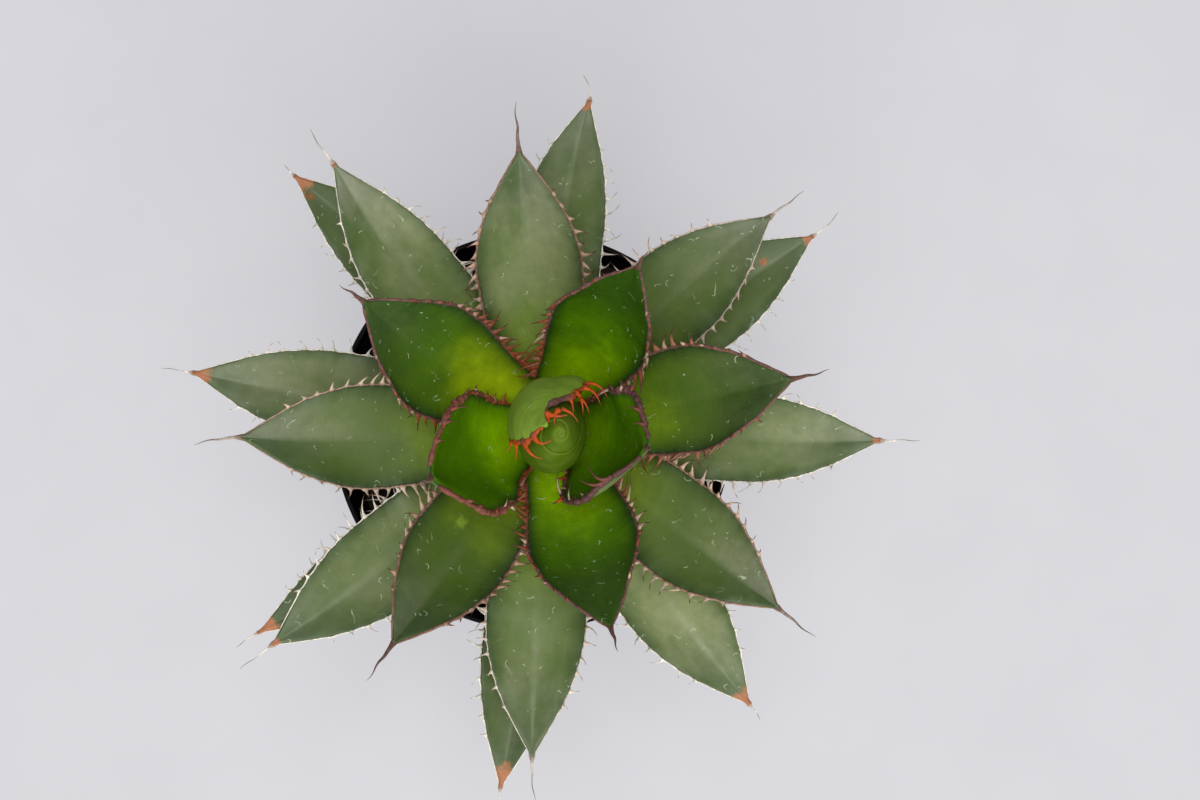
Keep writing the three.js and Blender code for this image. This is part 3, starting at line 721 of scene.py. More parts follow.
def tooth(leaf, shell, s, side, length, hook, lean, curl, girth, foot):
    """lean raises the tooth from the leaf's plane, hook bends it along the margin and curl back
    over the leaf."""
    point, along, outward, up = edge_frame(leaf, np.array([s]), side, MARGIN_INSET)
    point, along, outward, up = point[0], along[0], outward[0], up[0]
    out = length * (outward * math.cos(lean) + up * math.sin(lean))
    rise = length * (up * math.cos(lean) - outward * math.sin(lean))
    end = point + out + length * hook * along + curl * rise
    thorn(shell, point, point + 0.5 * out, end, along, s, girth, foot, leaf.random.uniform(0, 1))


def placed_tooth(leaf, shell, side, s, control, end, girth, foot, shade):
    """A tooth whose control point and end are given from its root, in mm."""
    point, along, _, _ = edge_frame(leaf, np.array([s]), side, MARGIN_INSET)
    thorn(shell, point[0], point[0] + control, point[0] + end, along[0], s, girth, foot, shade)


def spine(leaf, shell):
    """The terminal spine, with the sheath that clasps the leaf's tip."""
    s = np.array(SHEATH_STATIONS)
    angle = leaf.angles[1]
    heading = leaf.azimuth + leaf.sweep
    tip = surface(leaf, np.array([1.0]), 0, 0)[0]
    beside = np.array([-math.sin(heading), math.cos(heading), 0])
    t = np.linspace(0.03, 1, 18)
    turned = heading + leaf.aim * smooth(0, 0.5, t)
    flat = np.cos(angle) * np.array([np.cos(turned), np.sin(turned)])
    steps = np.stack([*flat, np.full(len(t), math.sin(angle))], -1)
    line = tip + np.cumsum(steps, 0) * leaf.spine / len(t)
    wave = 0.22 * np.sin(t * leaf.spine * 0.8 + leaf.waves[5]) * smooth(0.1, 0.5, t)
    centres = np.concatenate([surface(leaf, s, 0, 0), line + wave[:, None] * beside])
    direction = unit(np.gradient(centres, axis=0))
    wide = unit(np.cross(np.cross(direction, beside), direction))
    wide = wide * np.sign((wide @ beside))[:, None]
    up = np.cross(direction, wide)
    sheath = np.minimum(half_width(leaf, s) + 0.05, mix(0.5, 1.3, leaf.youth))
    girth = mix(0.2, 0.58, smooth(0.3, 0.85, leaf.youth))
    round_part = girth * (0.6 * (1 - t) ** 1.6 + 0.4 * (1 - t) ** 0.7) + 0.03
    a = np.concatenate([sheath, round_part])
    b = np.concatenate([np.full(len(s), mix(0.4, 0.6, leaf.youth)), round_part])
    rings = tube(centres, wide, up, a, b, SPINE_SIDES)
    add_tube(shell, rings, np.concatenate([np.zeros(len(s)), t]), 1.0, 1, 0.5)


def drawn_tooth(leaf, s):
    """Length, hook, lean, curl, girth and foot of the tooth at s, drawn at random."""
    random = leaf.random
    young = smooth(0.55, 0.95, leaf.youth)
    broad = smooth(0.45, 0.75, leaf.youth)
    size = mix(1, 0.42, smooth(0.4, 0.85, s)) * random.uniform(mix(0.75, 0.5, young), 1.25)
    length = mix(4.4, 5.3, broad) * size
    hook = random.uniform(-0.8, 0.9)
    lean = mix(0.0, 0.3, young) + random.uniform(-0.3, 0.35)
    curl = random.uniform(-0.15, 0.3)
    if leaf.age >= CUP_AGE:
        lean = 1.0 + random.uniform(-0.2, 0.2)
        curl = 0.55
    girth = mix(0.2, 0.27, broad) * random.uniform(0.85, 1.2)
    foot = mix(0.45, 1.0, broad) * random.uniform(0.7, 1.15)
    return length, hook, lean, curl, girth, foot


def horn(leaf, material, slot):
    """Margin, teeth and spine of an open leaf, which grew as one body."""
    shell = Shell()
    for side in (1, -1):
        margin_strip(leaf, shell, side)
        placed = [hook[1] for hook in leaf.hooks if hook[0] == side]
        for s in leaf.teeth[side]:
            drawn = drawn_tooth(leaf, s)
            if all(abs(s - at) > HOOK_CLEAR for at in placed):
                tooth(leaf, shell, s, side, *drawn)
    for side, s, control, end, shade in leaf.hooks:
        placed_tooth(leaf, shell, side, s, control, end, HOOK_GIRTH, HOOK_FOOT, shade)
    spine(leaf, shell)
    return shell.piece(f"{leaf.name}_horn", material, slot, f"{leaf.name}_margin")


# Materials

class Shading:
    """Short names for the shader nodes that the materials here are made of."""

    def __init__(self, name):
        self.material = bpy.data.materials.new(name)
        self.material.use_nodes = True
        self.tree = self.material.node_tree
        self.shader = self.tree.nodes["Principled BSDF"]

    def node(self, kind, **settings):
        made = self.tree.nodes.new(kind)
        for key, value in settings.items():
            setattr(made, key, value)
        return made

    def feed(self, socket, value):
        """Links an output, or sets a plain value."""
        if isinstance(value, bpy.types.NodeSocket):
            self.tree.links.new(value, socket)
        elif isinstance(value, tuple) and len(value) == 3 and socket.type == "RGBA":
            socket.default_value = (*value, 1)
        else:
            socket.default_value = value

    def attribute(self, name):
        return self.node("ShaderNodeAttribute", attribute_name=name).outputs["Vector"]

    def place(self):
        return self.node("ShaderNodeTexCoord").outputs["Object"]

    def split(self, vector):
        made = self.node("ShaderNodeSeparateXYZ")
        self.feed(made.inputs[0], vector)
        return made.outputs[0], made.outputs[1], made.outputs[2]

    def math(self, operation, a, b=0.0, clamp=False):
        made = self.node("ShaderNodeMath", operation=operation, use_clamp=clamp)
        self.feed(made.inputs[0], a)
        self.feed(made.inputs[1], b)
        return made.outputs[0]

    def times(self, a, b):
        return self.math("MULTIPLY", a, b)

    def swing(self, value, size):
        """A noise moved so that it swings by half this size to either side of 0."""
        return self.times(self.math("SUBTRACT", value, 0.5), size)

    def vector(self, operation, a, b):
        made = self.node("ShaderNodeVectorMath", operation=operation)
        self.feed(made.inputs[0], a)
        self.feed(made.inputs[1], b)
        return made.outputs["Value" if operation in ("DISTANCE", "DOT_PRODUCT") else "Vector"]

    def stretch(self, vector, scale):
        return self.vector("MULTIPLY", vector, scale)

    def smooth(self, value, low, high, start=0.0, end=1.0):
        made = self.node("ShaderNodeMapRange", interpolation_type="SMOOTHSTEP")
        for socket, given in zip(made.inputs, (value, low, high, start, end)):
            self.feed(socket, given)
        return made.outputs[0]

    def mix(self, part, a, b, blend="MIX"):
        made = self.node("ShaderNodeMix", data_type="RGBA", blend_type=blend)
        self.feed(made.inputs[0], part)
        self.feed(made.inputs[6], a)
        self.feed(made.inputs[7], b)
        return made.outputs[2]

    def noise(self, vector, scale=1.0, detail=2.0, roughness=0.5, distortion=0.0):
        made = self.node("ShaderNodeTexNoise")
        self.feed(made.inputs["Vector"], vector)
        made.inputs["Scale"].default_value = scale
        made.inputs["Detail"].default_value = detail
        made.inputs["Roughness"].default_value = roughness
        made.inputs["Distortion"].default_value = distortion
        return made.outputs["Fac"]

    def shade(self, colour, value, low, high):
        """Multiplies a colour by a grey from low to high, as value goes from 0 to 1."""
        grey = self.node("ShaderNodeCombineColor")
        level = self.smooth(value, 0.25, 0.75, low, high)
        for socket in grey.inputs[:3]:
            self.feed(socket, level)
        return self.mix(1.0, colour, grey.outputs[0], "MULTIPLY")

    def bump(self, height, distance, strength=1.0, normal=None):
        made = self.node("ShaderNodeBump")
        made.inputs["Strength"].default_value = strength
        made.inputs["Distance"].default_value = distance
        self.feed(made.inputs["Height"], height)
        if normal is not None:
            self.feed(made.inputs["Normal"], normal)
        return made.outputs[0]

    def crescents(self, grain, cell, share, size, width, turn):
        """Thin curved scratches, one in some of the cells of a jittered grid."""
        wander = self.noise(grain, 0.2, 1)
        shift = self.node("ShaderNodeCombineXYZ")
        self.feed(shift.inputs[0], wander)
        self.feed(shift.inputs[1], wander)
        moved = self.vector("ADD", self.stretch(grain, (1 / cell, 1 / cell, 0)), shift.outputs[0])
        moved = self.vector("ADD", moved, (turn, 2 * turn, 0))
        cells = self.node("ShaderNodeTexVoronoi", voronoi_dimensions="2D")
        self.feed(cells.inputs["Vector"], moved)
        cells.inputs["Scale"].default_value = 1.0
        away = self.vector("SUBTRACT", moved, cells.outputs["Position"])
        ring = self.math("ABSOLUTE", self.math("SUBTRACT", cells.outputs["Distance"], size))
        line = self.smooth(ring, width, width * 0.3)
        random = self.vector("SUBTRACT", cells.outputs["Color"], (0.5, 0.5, 0.5))
        facing = self.smooth(self.vector("DOT_PRODUCT", random, away), 0.01, 0.035)
        chosen = self.math("GREATER_THAN", self.split(cells.outputs["Color"])[2], 1 - share)
        return self.times(self.times(line, facing), chosen)

    def finish(self, colour, roughness, normal=None, specular=0.5):
        self.feed(self.shader.inputs["Base Color"], colour)
        self.feed(self.shader.inputs["Roughness"], roughness)
        self.shader.inputs["Specular IOR Level"].default_value = specular
        if normal is not None:
            self.feed(self.shader.inputs["Normal"], normal)
        return self.material


def leaf_textures(n, leaf):
    """The places and noises that the layers of a leaf's look share."""
    n.young = float(smooth(0.6, 0.92, leaf.youth))
    n.across, n.along, n.upper = n.split(n.attribute("place"))
    n.edge = n.math("ABSOLUTE", n.across)
    n.grain = n.attribute("grain")
    n.slow = n.noise(n.grain, 0.11, 3, 0.55)
    n.cloud = n.noise(n.grain, 0.35, 3, 0.6)
    n.speck = n.noise(n.grain, 5.5, 2, 0.7)
    lengthways = (0.16, 2.4, 1) if leaf.wrap else (2.4, 0.16, 1)
    n.fibre = n.noise(n.stretch(n.grain, lengthways), 1.0, 3, 0.6)
    n.ripple = n.noise(n.stretch(n.grain, (0.22, 1.5, 1)), 1.0, 3, 0.55, 0.6)


def flesh(n, leaf):
    """Green, deeper toward the tip and edges; the bright base is partly young tissue, partly painted
    light.
    """
    young = n.young
    light = mix_colour(OLD_GREEN, YOUNG_GREEN, young)
    deep = mix_colour(OLD_DEEP, YOUNG_DEEP, young)
    if leaf.age >= CUP_AGE:
        deep = mix_colour(deep, light, 0.75)
    if leaf.wrap:
        light, deep = BUD_GREEN, BUD_DEEP
    colour = n.mix(n.smooth(n.cloud, 0.3, 0.7), light, mix_colour(light, deep, 0.4))
    wander = n.math("ADD", n.along, n.swing(n.slow, 0.35))
    tipward = n.smooth(wander, mix(0.6, 0.45, young), mix(1.0, 0.75, young))
    far = n.math("MAXIMUM", tipward, n.smooth(n.edge, mix(0.5, 0.6, young), 1.0))
    colour = n.mix(n.times(far, mix(0.85, 0.95, young)), colour, deep)
    # Bright base: partly the paler young tissue, partly painted light through the flesh that lifts the
    # shade deep in the rosette.
    glow = n.times(n.smooth(wander, mix(0.55, 0.5, young), 0.12), n.smooth(n.edge, 1.1, 0.3))
    bright = mix_colour(OLD_GLOW, mix_colour(GLOW_GREEN, GLOW_YELLOW, leaf.yellow), young)
    return n.mix(n.times(glow, leaf.glow), colour, bright)


def waxed(n, leaf, colour):
    """A cloudy grey coat that thickens toward the tip, and a painted sheen: more grey on one half near the
    tip.
    """
    middle = float(smooth(0.35, 0.52, leaf.youth))
    clouds = n.noise(n.stretch(n.grain, (0.09, 0.05, 1)), 1.0, 3, 0.6)
    coat = n.smooth(clouds, 0.32, 0.6, 0.35, 1.0)
    clear = mix(0.12, 0.3, middle) if leaf.clear is None else leaf.clear
    outer = n.smooth(n.along, clear, clear + 0.6, mix(0.4, 0.08, middle), mix(1.0, 0.7, n.young))
    bloom = n.times(n.times(coat, outer), leaf.bloom)
    # Painted sheen: extra grey on the half of the channel that faces the front light, standing in for its
    # reflection.
    if leaf.haze:
        half = n.times(n.across, math.copysign(1, leaf.haze))
        tipward = n.smooth(n.along, 0.45, 0.75, 0.0, abs(leaf.haze))
        side = n.times(n.smooth(half, -0.12, 0.12, -1.0, 1.0), tipward)
        bloom = n.math("ADD", bloom, n.times(side, 0.32), clamp=True)
    bloom = n.times(bloom, n.smooth(n.edge, 0.62, 0.95, 1.0, 0.45))
    bloom = n.math("MAXIMUM", bloom, n.smooth(n.upper, 0.6, 0.4, 0.0, 0.08 if leaf.wrap else 0.5))
    return n.mix(bloom, colour, n.mix(n.smooth(n.along, 0.5, 0.95), BLOOM_GREY, BLOOM_TIP))


def grained(n, leaf, colour):
    """A pale line over the midrib, a dark one beside the margin that is partly painted shade,
    then fibres, ripples and specks.
    """
    young = n.young
    rib = n.times(n.smooth(n.edge, 0.13, 0.02), n.smooth(n.along, 0.3, 0.55, 0.0, 0.17 * (1 - young)))
    colour = n.mix(rib, colour, mix_colour(BLOOM_GREY, BLOOM_TIP, 0.5))
    # Dark line beside the margin: partly the edge's own deeper green, partly painted shade along the
    # raised margin.
    rim = n.smooth(n.edge, mix(0.86, 0.8, young), 1.0, 0.0, mix(0.5, 0.8, young))
    dark = mix_colour(OLD_EDGE_SHADE, YOUNG_EDGE_SHADE, young)
    colour = n.mix(n.times(rim, n.smooth(n.upper, 0.4, 0.6)), colour, dark)
    colour = n.shade(colour, n.fibre, mix(0.975, 0.93, young), mix(1.025, 1.07, young))
    waviness = 0.1 if leaf.wrap else mix(0.02, 0.05, young)
    colour = n.shade(colour, n.ripple, 1 - waviness, 1 + waviness)
    colour = n.shade(colour, n.speck, 0.93, 1.07)
    # Each leaf's tone is partly its own green and partly painted light: how brightly that leaf seems lit.
    colour = n.shade(colour, n.cloud, 0.89 * leaf.tone, 1.11 * leaf.tone)
    if leaf.shoulders:
        colour = n.mix(n.smooth(n.along, 0.78, 1.0, 0.0, 0.6), colour, YOUNG_DEEP)
    return colour


def water_marked(n, colour):
    """Pale crescents of two sizes and dots, fainter in some places than in others."""
    share = mix(0.34, 0.26, n.young)
    marks = n.crescents(n.grain, 5.2, share, 0.15, 0.03, 0.0)
    marks = n.math("MAXIMUM", marks, n.crescents(n.grain, 3.1, 0.8 * share, 0.11, 0.045, 7.3))
    dots = n.node("ShaderNodeTexVoronoi")
    n.feed(dots.inputs["Vector"], n.stretch(n.grain, (0.75, 0.75, 0)))
    chosen = n.math("GREATER_THAN", n.split(dots.outputs["Color"])[0], 0.9)
    dot = n.times(n.smooth(dots.outputs["Distance"], 0.14, 0.06), chosen)
    marks = n.math("MAXIMUM", marks, n.times(dot, 0.7))
    faint = n.smooth(n.noise(n.grain, 0.2, 1), 0.3, 0.65, 0.15, 0.75)
    return n.mix(n.times(marks, faint), colour, MARK_PALE)


def blemished(n, leaf, colour):
    """The ragged rust or pale spots that the leaf's row names."""
    for at, off, size, kind in leaf.marks:
        near = n.vector("DISTANCE", n.grain, grain_place(leaf, at, off, 1))
        ragged = n.math("ADD", near, n.swing(n.speck, size))
        ragged = n.math("ADD", ragged, n.swing(n.cloud, 2.5 * size))
        colour = n.mix(n.smooth(ragged, size, 0.1 * size, 0.0, 0.85), colour, MARKS[kind])
    return colour


def withered(n, leaf, colour):
    """The brown dead tip, with a ragged border."""
    from_tip = n.times(n.math("SUBTRACT", 1.0, n.along), leaf.length)
    ragged = n.math("ADD", from_tip, n.swing(n.cloud, 0.9 * leaf.dead))
    brown = n.mix(n.smooth(n.speck, 0.35, 0.65), DEAD_LIGHT, DEAD_DARK)
    return n.mix(n.smooth(ragged, leaf.dead, 0.7 * leaf.dead), colour, brown)


def leaf_material(leaf):
    """Green flesh under a waxy coat, with fibres, water marks, spots and a withered tip."""
    n = Shading(f"{leaf.name}_flesh")
    leaf_textures(n, leaf)
    colour = grained(n, leaf, waxed(n, leaf, flesh(n, leaf)))
    colour = blemished(n, leaf, water_marked(n, colour))
    if leaf.dead:
        colour = withered(n, leaf, colour)
    young = n.young
    rough = n.smooth(n.slow, 0.3, 0.7, mix(0.42, 0.36, young), mix(0.56, 0.46, young))
    normal = n.bump(n.fibre, 0.00006, mix(0.25, 0.6, young))
    normal = n.bump(n.ripple, 0.00025, mix(0.12, 0.35, young), normal)
    normal = n.bump(n.speck, 0.00005, 0.5, normal)
    return n.finish(colour, rough, normal, mix(0.45, 0.05, young))


def horn_colours(n, leaf, along, tone):
    """Colours of the margin, of the root of a tooth and of its tip."""
    if leaf.wrap:
        folded = n.times(n.smooth(along, 0.7, 0.78), n.smooth(along, 0.97, 0.9))
        part = n.times(folded, n.smooth(tone, 0.1, 0.4))
        rim = n.mix(part, mix_colour(HORN_RED, HORN_ORANGE, 0.6), HORN_PURPLE)
        return rim, HORN_ORANGE, mix_colour(HORN_ORANGE, HORN_RED, 0.5)
    tip = mix_colour(HORN_BROWN, HORN_TIP, grown(leaf, 9, 17))
    if leaf.age in CUP_RIMS:
        rim = CUP_RIMS[leaf.age]
        root = n.mix(n.smooth(tone, 0.7, 0.85), mix_colour(rim, HORN_RED, 0.35), HORN_PINK)
        return rim, n.mix(n.smooth(tone, 0.25, 0.15), root, HORN_ORANGE), tip
    rim = mix_colour(HORN_CREAM, HORN_TAN, grown(leaf, 9, 14))
    rim = mix_colour(rim, HORN_PURPLE, grown(leaf, 13, 18))
    root = mix_colour(HORN_CREAM, HORN_PINK, grown(leaf, 8, 15))
    redness = n.smooth(tone, 0.9, 0.55, 0.1, grown(leaf, 14, 18))
    return rim, n.mix(redness, root, HORN_RED), tip


def horn_material(leaf):
    """Horny margin, teeth and spine: cream on the old leaves, reddish on the young ones."""
    n = Shading(f"{leaf.name}_horn")
    reach, along, kind = n.split(n.attribute("horn"))
    tone = n.split(n.attribute("tone"))[0]
    streak = n.noise(n.place(), 900, 3, 0.6)
    brown = grown(leaf, 9, 17)
    rim, root, tip = horn_colours(n, leaf, along, tone)
    colour = n.mix(n.smooth(reach, 0.0, 0.12), rim, root)
    colour = n.mix(n.smooth(reach, mix(0.6, 0.3, brown), mix(0.95, 0.75, brown)), colour, tip)
    low = n.times(n.smooth(along, 0.4, 0.1), 0.25 + 0.5 * brown)
    colour = n.mix(low, colour, mix_colour(HORN_RED, HORN_ORANGE, 0.3))
    sheath = mix_colour(HORN_CREAM, HORN_PURPLE, grown(leaf, 8, 17))
    sheath = n.mix(n.smooth(reach, 0.1, 0.0, 0.0, 0.8), sheath, mix_colour(HORN_TAN, HORN_PURPLE, brown))
    spike = n.mix(n.smooth(reach, 0.25, 0.8), sheath, mix_colour(HORN_GREY, HORN_TIP, 0.5))
    colour = n.mix(n.smooth(kind, 0.75, 0.9), colour, spike)
    colour = n.shade(colour, streak, 0.62, 1.3)
    rough = n.smooth(streak, 0.3, 0.7, 0.4, 0.6)
    return n.finish(colour, rough, n.bump(streak, 0.00006, 0.5), 0.2)


def core_material():
    """Smooth green with fine rings, paler on the rim of the rolled sheet and toward its foot."""
    n = Shading("bud_core_flesh")
    band = n.attribute("band")
    down = n.split(band)[2]
    cloud = n.noise(n.place(), 260, 3)
    ring = n.noise(n.stretch(band, (3.6, 0.35, 0)), 1.0, 3)
    colour = n.mix(n.smooth(cloud, 0.3, 0.7), CORE_GREEN, CORE_LIGHT)
    colour = n.mix(n.smooth(down, 0.07, 0.0, 0.0, 0.3), colour, CORE_EDGE)
    colour = n.mix(n.smooth(down, 0.6, 0.85), colour, CORE_FOOT_GREEN)
    colour = n.shade(colour, ring, 0.94, 1.06)
    return n.finish(colour, 0.42, n.bump(ring, 0.0002, 0.3), 0.08)


def pot_material():
    """Moulded black plastic with a fine matt grain and a little dust."""
    n = Shading("pot_plastic")
    place = n.place()
    grain = n.noise(place, 1800, 2, 0.7)
    dust = n.noise(n.stretch(place, (70, 70, 30)), 1.0, 4, 0.65)
    scuff = n.noise(n.stretch(place, (60, 60, 900)), 1.0, 3, 0.7)
    colour = n.mix(n.smooth(dust, 0.5, 0.8, 0.0, 0.2), POT_BLACK, POT_DUST)
    colour = n.mix(n.smooth(scuff, 0.62, 0.8, 0.0, 0.2), colour, POT_SCUFF)
    rough = n.smooth(dust, 0.3, 0.8, 0.5, 0.7)
    normal = n.bump(scuff, 0.00006, 0.4, n.bump(grain, 0.00005, 0.6))
    return n.finish(colour, rough, normal, 0.1)


def soil_material():
    """Dark damp peat with paler flakes."""
    n = Shading("peat")
    coarse = n.noise(n.place(), 220, 5, 0.7)
    fine = n.noise(n.place(), 1300, 4, 0.7)
    colour = n.mix(n.smooth(coarse, 0.35, 0.7), PEAT_DARK, PEAT_BROWN)
    colour = n.mix(n.smooth(fine, 0.62, 0.75, 0.0, 0.6), colour, PEAT_FLAKE)
    normal = n.bump(coarse, 0.0012, 0.8, n.bump(fine, 0.0003, 0.8))
    return n.finish(colour, 0.92, normal, 0.2)


def stem_material():
    """Pale green and tan skin with the rings of old leaf bases."""
    n = Shading("stem_skin")
    ring = n.noise(n.stretch(n.place(), (120, 120, 900)), 1.0, 4, 0.6)
    blot = n.noise(n.place(), 200, 3, 0.6)
    colour = n.mix(n.smooth(blot, 0.3, 0.7), STEM_GREEN, STEM_TAN)
    colour = n.shade(colour, ring, 0.6, 1.15)
    return n.finish(colour, 0.6, n.bump(ring, 0.0008, 0.8), 0.3)


# Pot, soil and stem

def inner_radius(z):
    """Radius of the pot's inside wall at this height."""
    return mix(BASE_RADIUS, RIM_RADIUS - BAND_STEP, z / (POT_HEIGHT - RIM_BAND)) - WALL


def arc(centre, radius, start, end, steps):
    """Points of a round corner of a profile, from one angle to the other in degrees."""
    angles = np.radians(np.linspace(start, end, steps))
    return [(centre[0] + radius * math.cos(a), centre[1] + radius * math.sin(a)) for a in angles]


def circle(radius, turn, z, x=0, y=0):
    return np.stack([x + radius * np.cos(turn), y + radius * np.sin(turn), z + np.zeros(len(turn))], -1)


def lathe(profile, sides):
    """The closed body that a profile of radius and height sweeps round the axis."""
    return loft(np.array([circle(radius, full_turn(sides), z) for radius, z in profile]))


def pot():
    """The hollow shell: underside, outside wall, rim band, lip, inside wall, floor and drains."""
    foot = POT_HEIGHT - RIM_BAND
    neck = RIM_RADIUS - BAND_STEP
    inner = RIM_RADIUS - WALL
    profile = [(6, 0)]
    profile += [(DRAIN_RING + 8, 0)]
    profile += arc((BASE_RADIUS - FOOT_ROUND, FOOT_ROUND), FOOT_ROUND, -90, -5, 6)
    profile += [(mix(BASE_RADIUS, neck, part), part * foot) for part in (0.15, 0.4, 0.7, 0.97)]
    profile += arc((neck - 0.5, foot - 0.2), 0.55, 0, 40, 3)
    profile += arc((RIM_RADIUS - 0.5, foot + 0.9), 0.5, -80, 0, 4)
    profile += [(RIM_RADIUS, foot + 3), (RIM_RADIUS, POT_HEIGHT - 3)]
    profile += arc((RIM_RADIUS - LIP_ROUND, POT_HEIGHT - LIP_ROUND), LIP_ROUND, 0, 90, 6)
    profile += arc((inner + LIP_ROUND, POT_HEIGHT - LIP_ROUND), LIP_ROUND, 90, 180, 6)
    profile += [(inner, foot + 2.4), (inner_radius(foot), foot + 0.8)]
    profile += [(inner_radius(z), z) for z in (60, 40, 20)]
    profile += arc((inner_radius(WALL) - FLOOR_ROUND, WALL + FLOOR_ROUND), FLOOR_ROUND, -2, -90, 5)
    profile += [(6, WALL)]
    shell = Shell()
    shell.add(*lathe(profile, POT_SIDES))
    made = shell.piece("pot_shell", pot_material(), "black_plastic", "pot")
    drill_drains(made)


def drill_drains(made):
    """Cuts the ring of holes through the pot's floor."""
    drills = Shell()
    for hole in range(DRAIN_HOLES):
        angle = 2 * math.pi * hole / DRAIN_HOLES
        points, *faces = lathe([(DRAIN_RADIUS, -3), (DRAIN_RADIUS, 2 * WALL)], 40)
        drills.add(points + [DRAIN_RING * math.cos(angle), DRAIN_RING * math.sin(angle), 0], *faces)
    mesh = bpy.data.meshes.new("drain_drill")
    mesh.from_pydata((np.concatenate(drills.points) * MM).tolist(), [], drills.faces)
    drill = bpy.data.objects.new("drain_drill", mesh)
    bpy.context.scene.collection.objects.link(drill)
    cut = made.modifiers.new("drains", "BOOLEAN")
    cut.operation = "DIFFERENCE"
    cut.solver = "EXACT"
    cut.object = drill
    evaluated = made.evaluated_get(bpy.context.evaluated_depsgraph_get())
    drilled = bpy.data.meshes.new_from_object(evaluated)
    made.modifiers.clear()
    made.data = drilled
    drilled.shade_smooth()
    drilled.set_sharp_from_angle(angle=math.radians(40))
    bpy.data.objects.remove(drill)


def soil_height(x, y):
    """Height of the crumbly top: coarse lumps with crumbs on them."""
    at = Vector((x, y, 0))
    lumps = noise.noise(at * 0.16) * 1.1 + noise.noise(at * 0.45) * 0.7
    crumbs = noise.noise(at * 1.3) * 0.35
    return SOIL_TOP + 0.2 + lumps + crumbs


def soil(material):
    """The peat: a plug that follows the pot's wall, a crumbly top and the blind hole for the stem."""
    turn = full_turn(SOIL_SIDES)
    hole = STEM_RADIUS + GAP
    wall = inner_radius(SOIL_TOP) - 2 * GAP
    rings = [circle(inner_radius(2) - 2 * GAP, turn, 2), circle(wall, turn, SOIL_TOP - 1.5)]
    for part in np.linspace(0, 1, SOIL_RINGS + 1):
        top = circle(mix(wall, hole, part), turn, 0, PLANT_X * part, PLANT_Y * part)
        top[:, 2] = [soil_height(x, y) for x, y, _ in top]
        rings.append(top)
    rings.append(circle(hole, turn, STEM_FOOT - GAP, PLANT_X, PLANT_Y))
    shell = Shell()
    shell.add_loft(np.array(rings))
    return shell.piece("soil_peat", material, "potting_soil", "soil")


def crumb(random, size):
    """A small angular lump: a ball of few rings whose radius jumps from point to point."""
    rings = []
    stretch = random.uniform(0.6, 1.3, 3)
    for row in range(CRUMB_RINGS):
        polar = math.pi * (row + 0.5) / CRUMB_RINGS
        turn = full_turn(CRUMB_SIDES) + random.uniform(0, 0.5)
        radius = size * random.uniform(0.8, 1.15, CRUMB_SIDES)
        rings.append(circle(radius * math.sin(polar), turn, radius * math.cos(polar)) * stretch)
    return loft(np.array(rings))


def crumbs(material):
    """Loose crumbs of bark and peat half sunk in the soil's top."""
    random = np.random.default_rng(5)
    shell = Shell()
    reach = inner_radius(SOIL_TOP) - 3
    while len(shell.points) < CRUMB_COUNT:
        x, y = random.uniform(-reach, reach, 2)
        if math.hypot(x, y) > reach or math.hypot(x - PLANT_X, y - PLANT_Y) < STEM_RADIUS + 2.5:
            continue
        size = random.uniform(*CRUMB_SIZE)
        points, *faces = crumb(random, size)
        shell.add(points + [x, y, soil_height(x, y) + 0.25 * size], *faces)
    return shell.piece("soil_crumbs", material, "potting_soil")


def stem(material):
    """The column with its domed top, round the plant's axis."""
    profile = [(STEM_RADIUS * 0.5, STEM_FOOT), (STEM_RADIUS * 0.9, STEM_FOOT + 2)]
    profile += [(STEM_RADIUS, z) for z in (56, 66, 76, 84)]
    for part in np.linspace(0, 0.98, 30):
        angle = part * math.pi / 2
        profile.append((STEM_RADIUS * math.cos(angle), mix(STEM_SHOULDER, STEM_TOP, math.sin(angle))))
    points, *faces = lathe(profile, 72)
    shell = Shell()
    shell.add(points + [PLANT_X, PLANT_Y, 0], *faces)
    return shell.piece("stem_column", material, "stem_tissue", "stem")


# Heart

def core_dome(radius):
    """Height of the closed leaves at this distance from their axis."""
    inside = np.clip(1 - (radius / CORE_RADIUS) ** 2, 0, 1)
    return CORE_SHOULDER + (CORE_TOP - CORE_SHOULDER) * inside ** 0.62


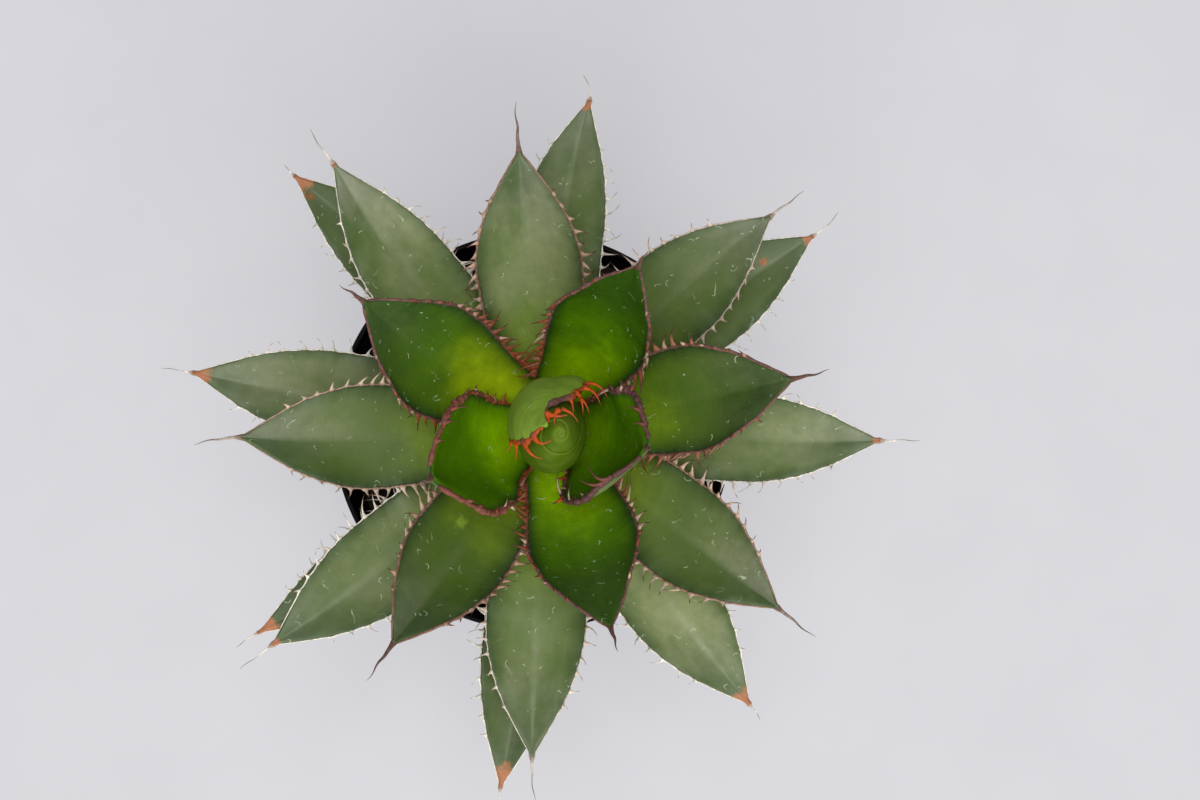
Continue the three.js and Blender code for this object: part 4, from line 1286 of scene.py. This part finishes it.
def bud_core(material):
    """Closed young leaves: one sheet rolled up round the axis. Its rim climbs to the apex in a spiral."""
    rings = []
    for part in np.linspace(0, 1, CORE_ROWS):
        around = math.radians(CORE_SEAM) - part * CORE_TURNS * 2 * math.pi
        rim = CORE_RIM[0] * (CORE_RIM[1] / CORE_RIM[0]) ** part
        rim = rim * (1 + CORE_WOBBLE[0] * math.sin(around) + CORE_WOBBLE[1] * math.sin(2 * around + 1))
        sunk = CORE_SHEET * CORE_TURNS * part
        down = np.linspace(0, 1, CORE_DOME_LEVELS)
        radius = mix(rim, max(rim + 0.1, CORE_RADIUS - sunk - 0.02), down ** 0.8)
        height = core_dome(radius + sunk)
        wall = np.linspace(0, 1, CORE_WALL_LEVELS + 1)[1:]
        radius = np.concatenate([radius, mix(radius[-1], CORE_FOOT_RADIUS - sunk, wall ** 1.6)])
        height = np.concatenate([height, mix(height[-1], CORE_FOOT, wall)])
        order = np.arange(len(radius)) / (len(radius) - 1)
        thin = 0.9 * CORE_SHEET * np.sqrt(np.clip(order / 0.06, 0.02, 1))
        loop = []
        for inner, turned in ((0, slice(None)), (1, slice(None, None, -1))):
            filled = inner * smooth(0.7, 0.95, part)
            r = mix(np.maximum(0.05, radius - inner * 0.7 * thin), 0.02, filled)[turned]
            z = (height - inner * 0.7 * thin * (1 - filled))[turned]
            lean = np.clip(1 - r / CORE_RADIUS, 0, 1)
            x = BUD_X + CORE_LEAN[0] * lean + r * math.cos(around)
            y = CORE_Y + CORE_LEAN[1] * lean + r * math.sin(around) * BUD_OVAL
            band = np.stack([r, np.full(len(r), 6 * part), order[turned]], -1)
            loop.append(np.concatenate([np.stack([x, y, z], -1), band], -1))
        rings.append(np.concatenate(loop))
    shell = Shell()
    shell.add_loft(np.array(rings), "band")
    return shell.piece("bud_core_green", material, "young_leaf_green", "bud_core")


def bud_horn(leaf, material):
    """Margin of the rolled leaf, with the long hooked teeth of the heart."""
    shell = Shell()
    for side in (1, -1):
        margin_strip(leaf, shell, side, 0.5 if side < 0 else 0.0)
    for side, s, control, end, girth, shade in BUD_TEETH:
        placed_tooth(leaf, shell, side, s, control, end, girth, BUD_HOOK_FOOT, shade)
    for root, control, end, girth, shade in INNER_TEETH:
        points = [np.array([BUD_X, BUD_Y, 0]) + point for point in (root, control, end)]
        thorn(shell, *points, np.array([1.0, 0, 0]), 0.6, girth, 0.2, shade)
    return shell.piece("bud_leaf_horn", material, "heart_margin_horn", "bud_leaf_margin")


# Setting

def floor():
    """A wide pale sheet of paper a little below the pot's underside."""
    n = Shading("floor_paper")
    colour = n.mix(n.smooth(n.noise(n.place(), 30, 3), 0.3, 0.7), *PAPER)
    n.feed(n.shader.inputs["Emission Color"], PAPER_GLOW)
    n.shader.inputs["Emission Strength"].default_value = FLOOR_GLOW
    mesh = bpy.data.meshes.new("floor")
    low, high = -FLOOR_REACH, FLOOR_REACH
    corners = [(x, y, -FLOOR_DROP) for x, y in ((low, low), (high, low), (high, high), (low, high))]
    mesh.from_pydata(corners, [], [(0, 1, 2, 3)])
    mesh.materials.append(n.finish(colour, 0.9, None, 0.1))
    made = bpy.data.objects.new("floor", mesh)
    bpy.context.scene.collection.objects.link(made)


def area_light(name, place, size, power, colour):
    """A round softbox that faces the plant."""
    target = Vector((PLANT_X * MM, PLANT_Y * MM, AIM_HEIGHT))
    data = bpy.data.lights.new(name, "AREA")
    data.shape = "DISK"
    data.size = size
    data.energy = power
    data.color = colour
    made = bpy.data.objects.new(name, data)
    made.location = place
    made.rotation_euler = (target - Vector(place)).to_track_quat("-Z", "Y").to_euler()
    bpy.context.scene.collection.objects.link(made)


def lights():
    """A pale studio with two softboxes."""
    world = bpy.data.worlds.new("studio")
    world.use_nodes = True
    background = world.node_tree.nodes["Background"]
    background.inputs["Color"].default_value = (*STUDIO_GREY, 1)
    background.inputs["Strength"].default_value = STUDIO_GLOW
    bpy.context.scene.world = world
    area_light("top_softbox", **TOP_LIGHT)
    area_light("front_softbox", **FRONT_LIGHT)


def camera():
    """Looks straight down, as the photograph does."""
    data = bpy.data.cameras.new("camera")
    data.sensor_fit = "HORIZONTAL"
    data.sensor_width = SENSOR
    data.lens = LENS
    made = bpy.data.objects.new("camera", data)
    made.location = [value * MM for value in CAMERA]
    bpy.context.scene.collection.objects.link(made)
    bpy.context.scene.camera = made


camera()
lights()
floor()
pot()
peat = soil_material()
soil(peat)
crumbs(peat)
stem(stem_material())
for number, row in enumerate(LEAVES, 1):
    leaf = open_leaf(number, row)
    blade(leaf, leaf_material(leaf), f"{leaf.stage}_leaf_green")
    horn(leaf, horn_material(leaf), f"{leaf.stage}_margin_horn")
rolled = bud_leaf()
blade(rolled, leaf_material(rolled), "young_leaf_green")
bud_horn(rolled, horn_material(rolled))
bud_core(core_material())
bpy.context.scene.view_settings.view_transform = "Standard"
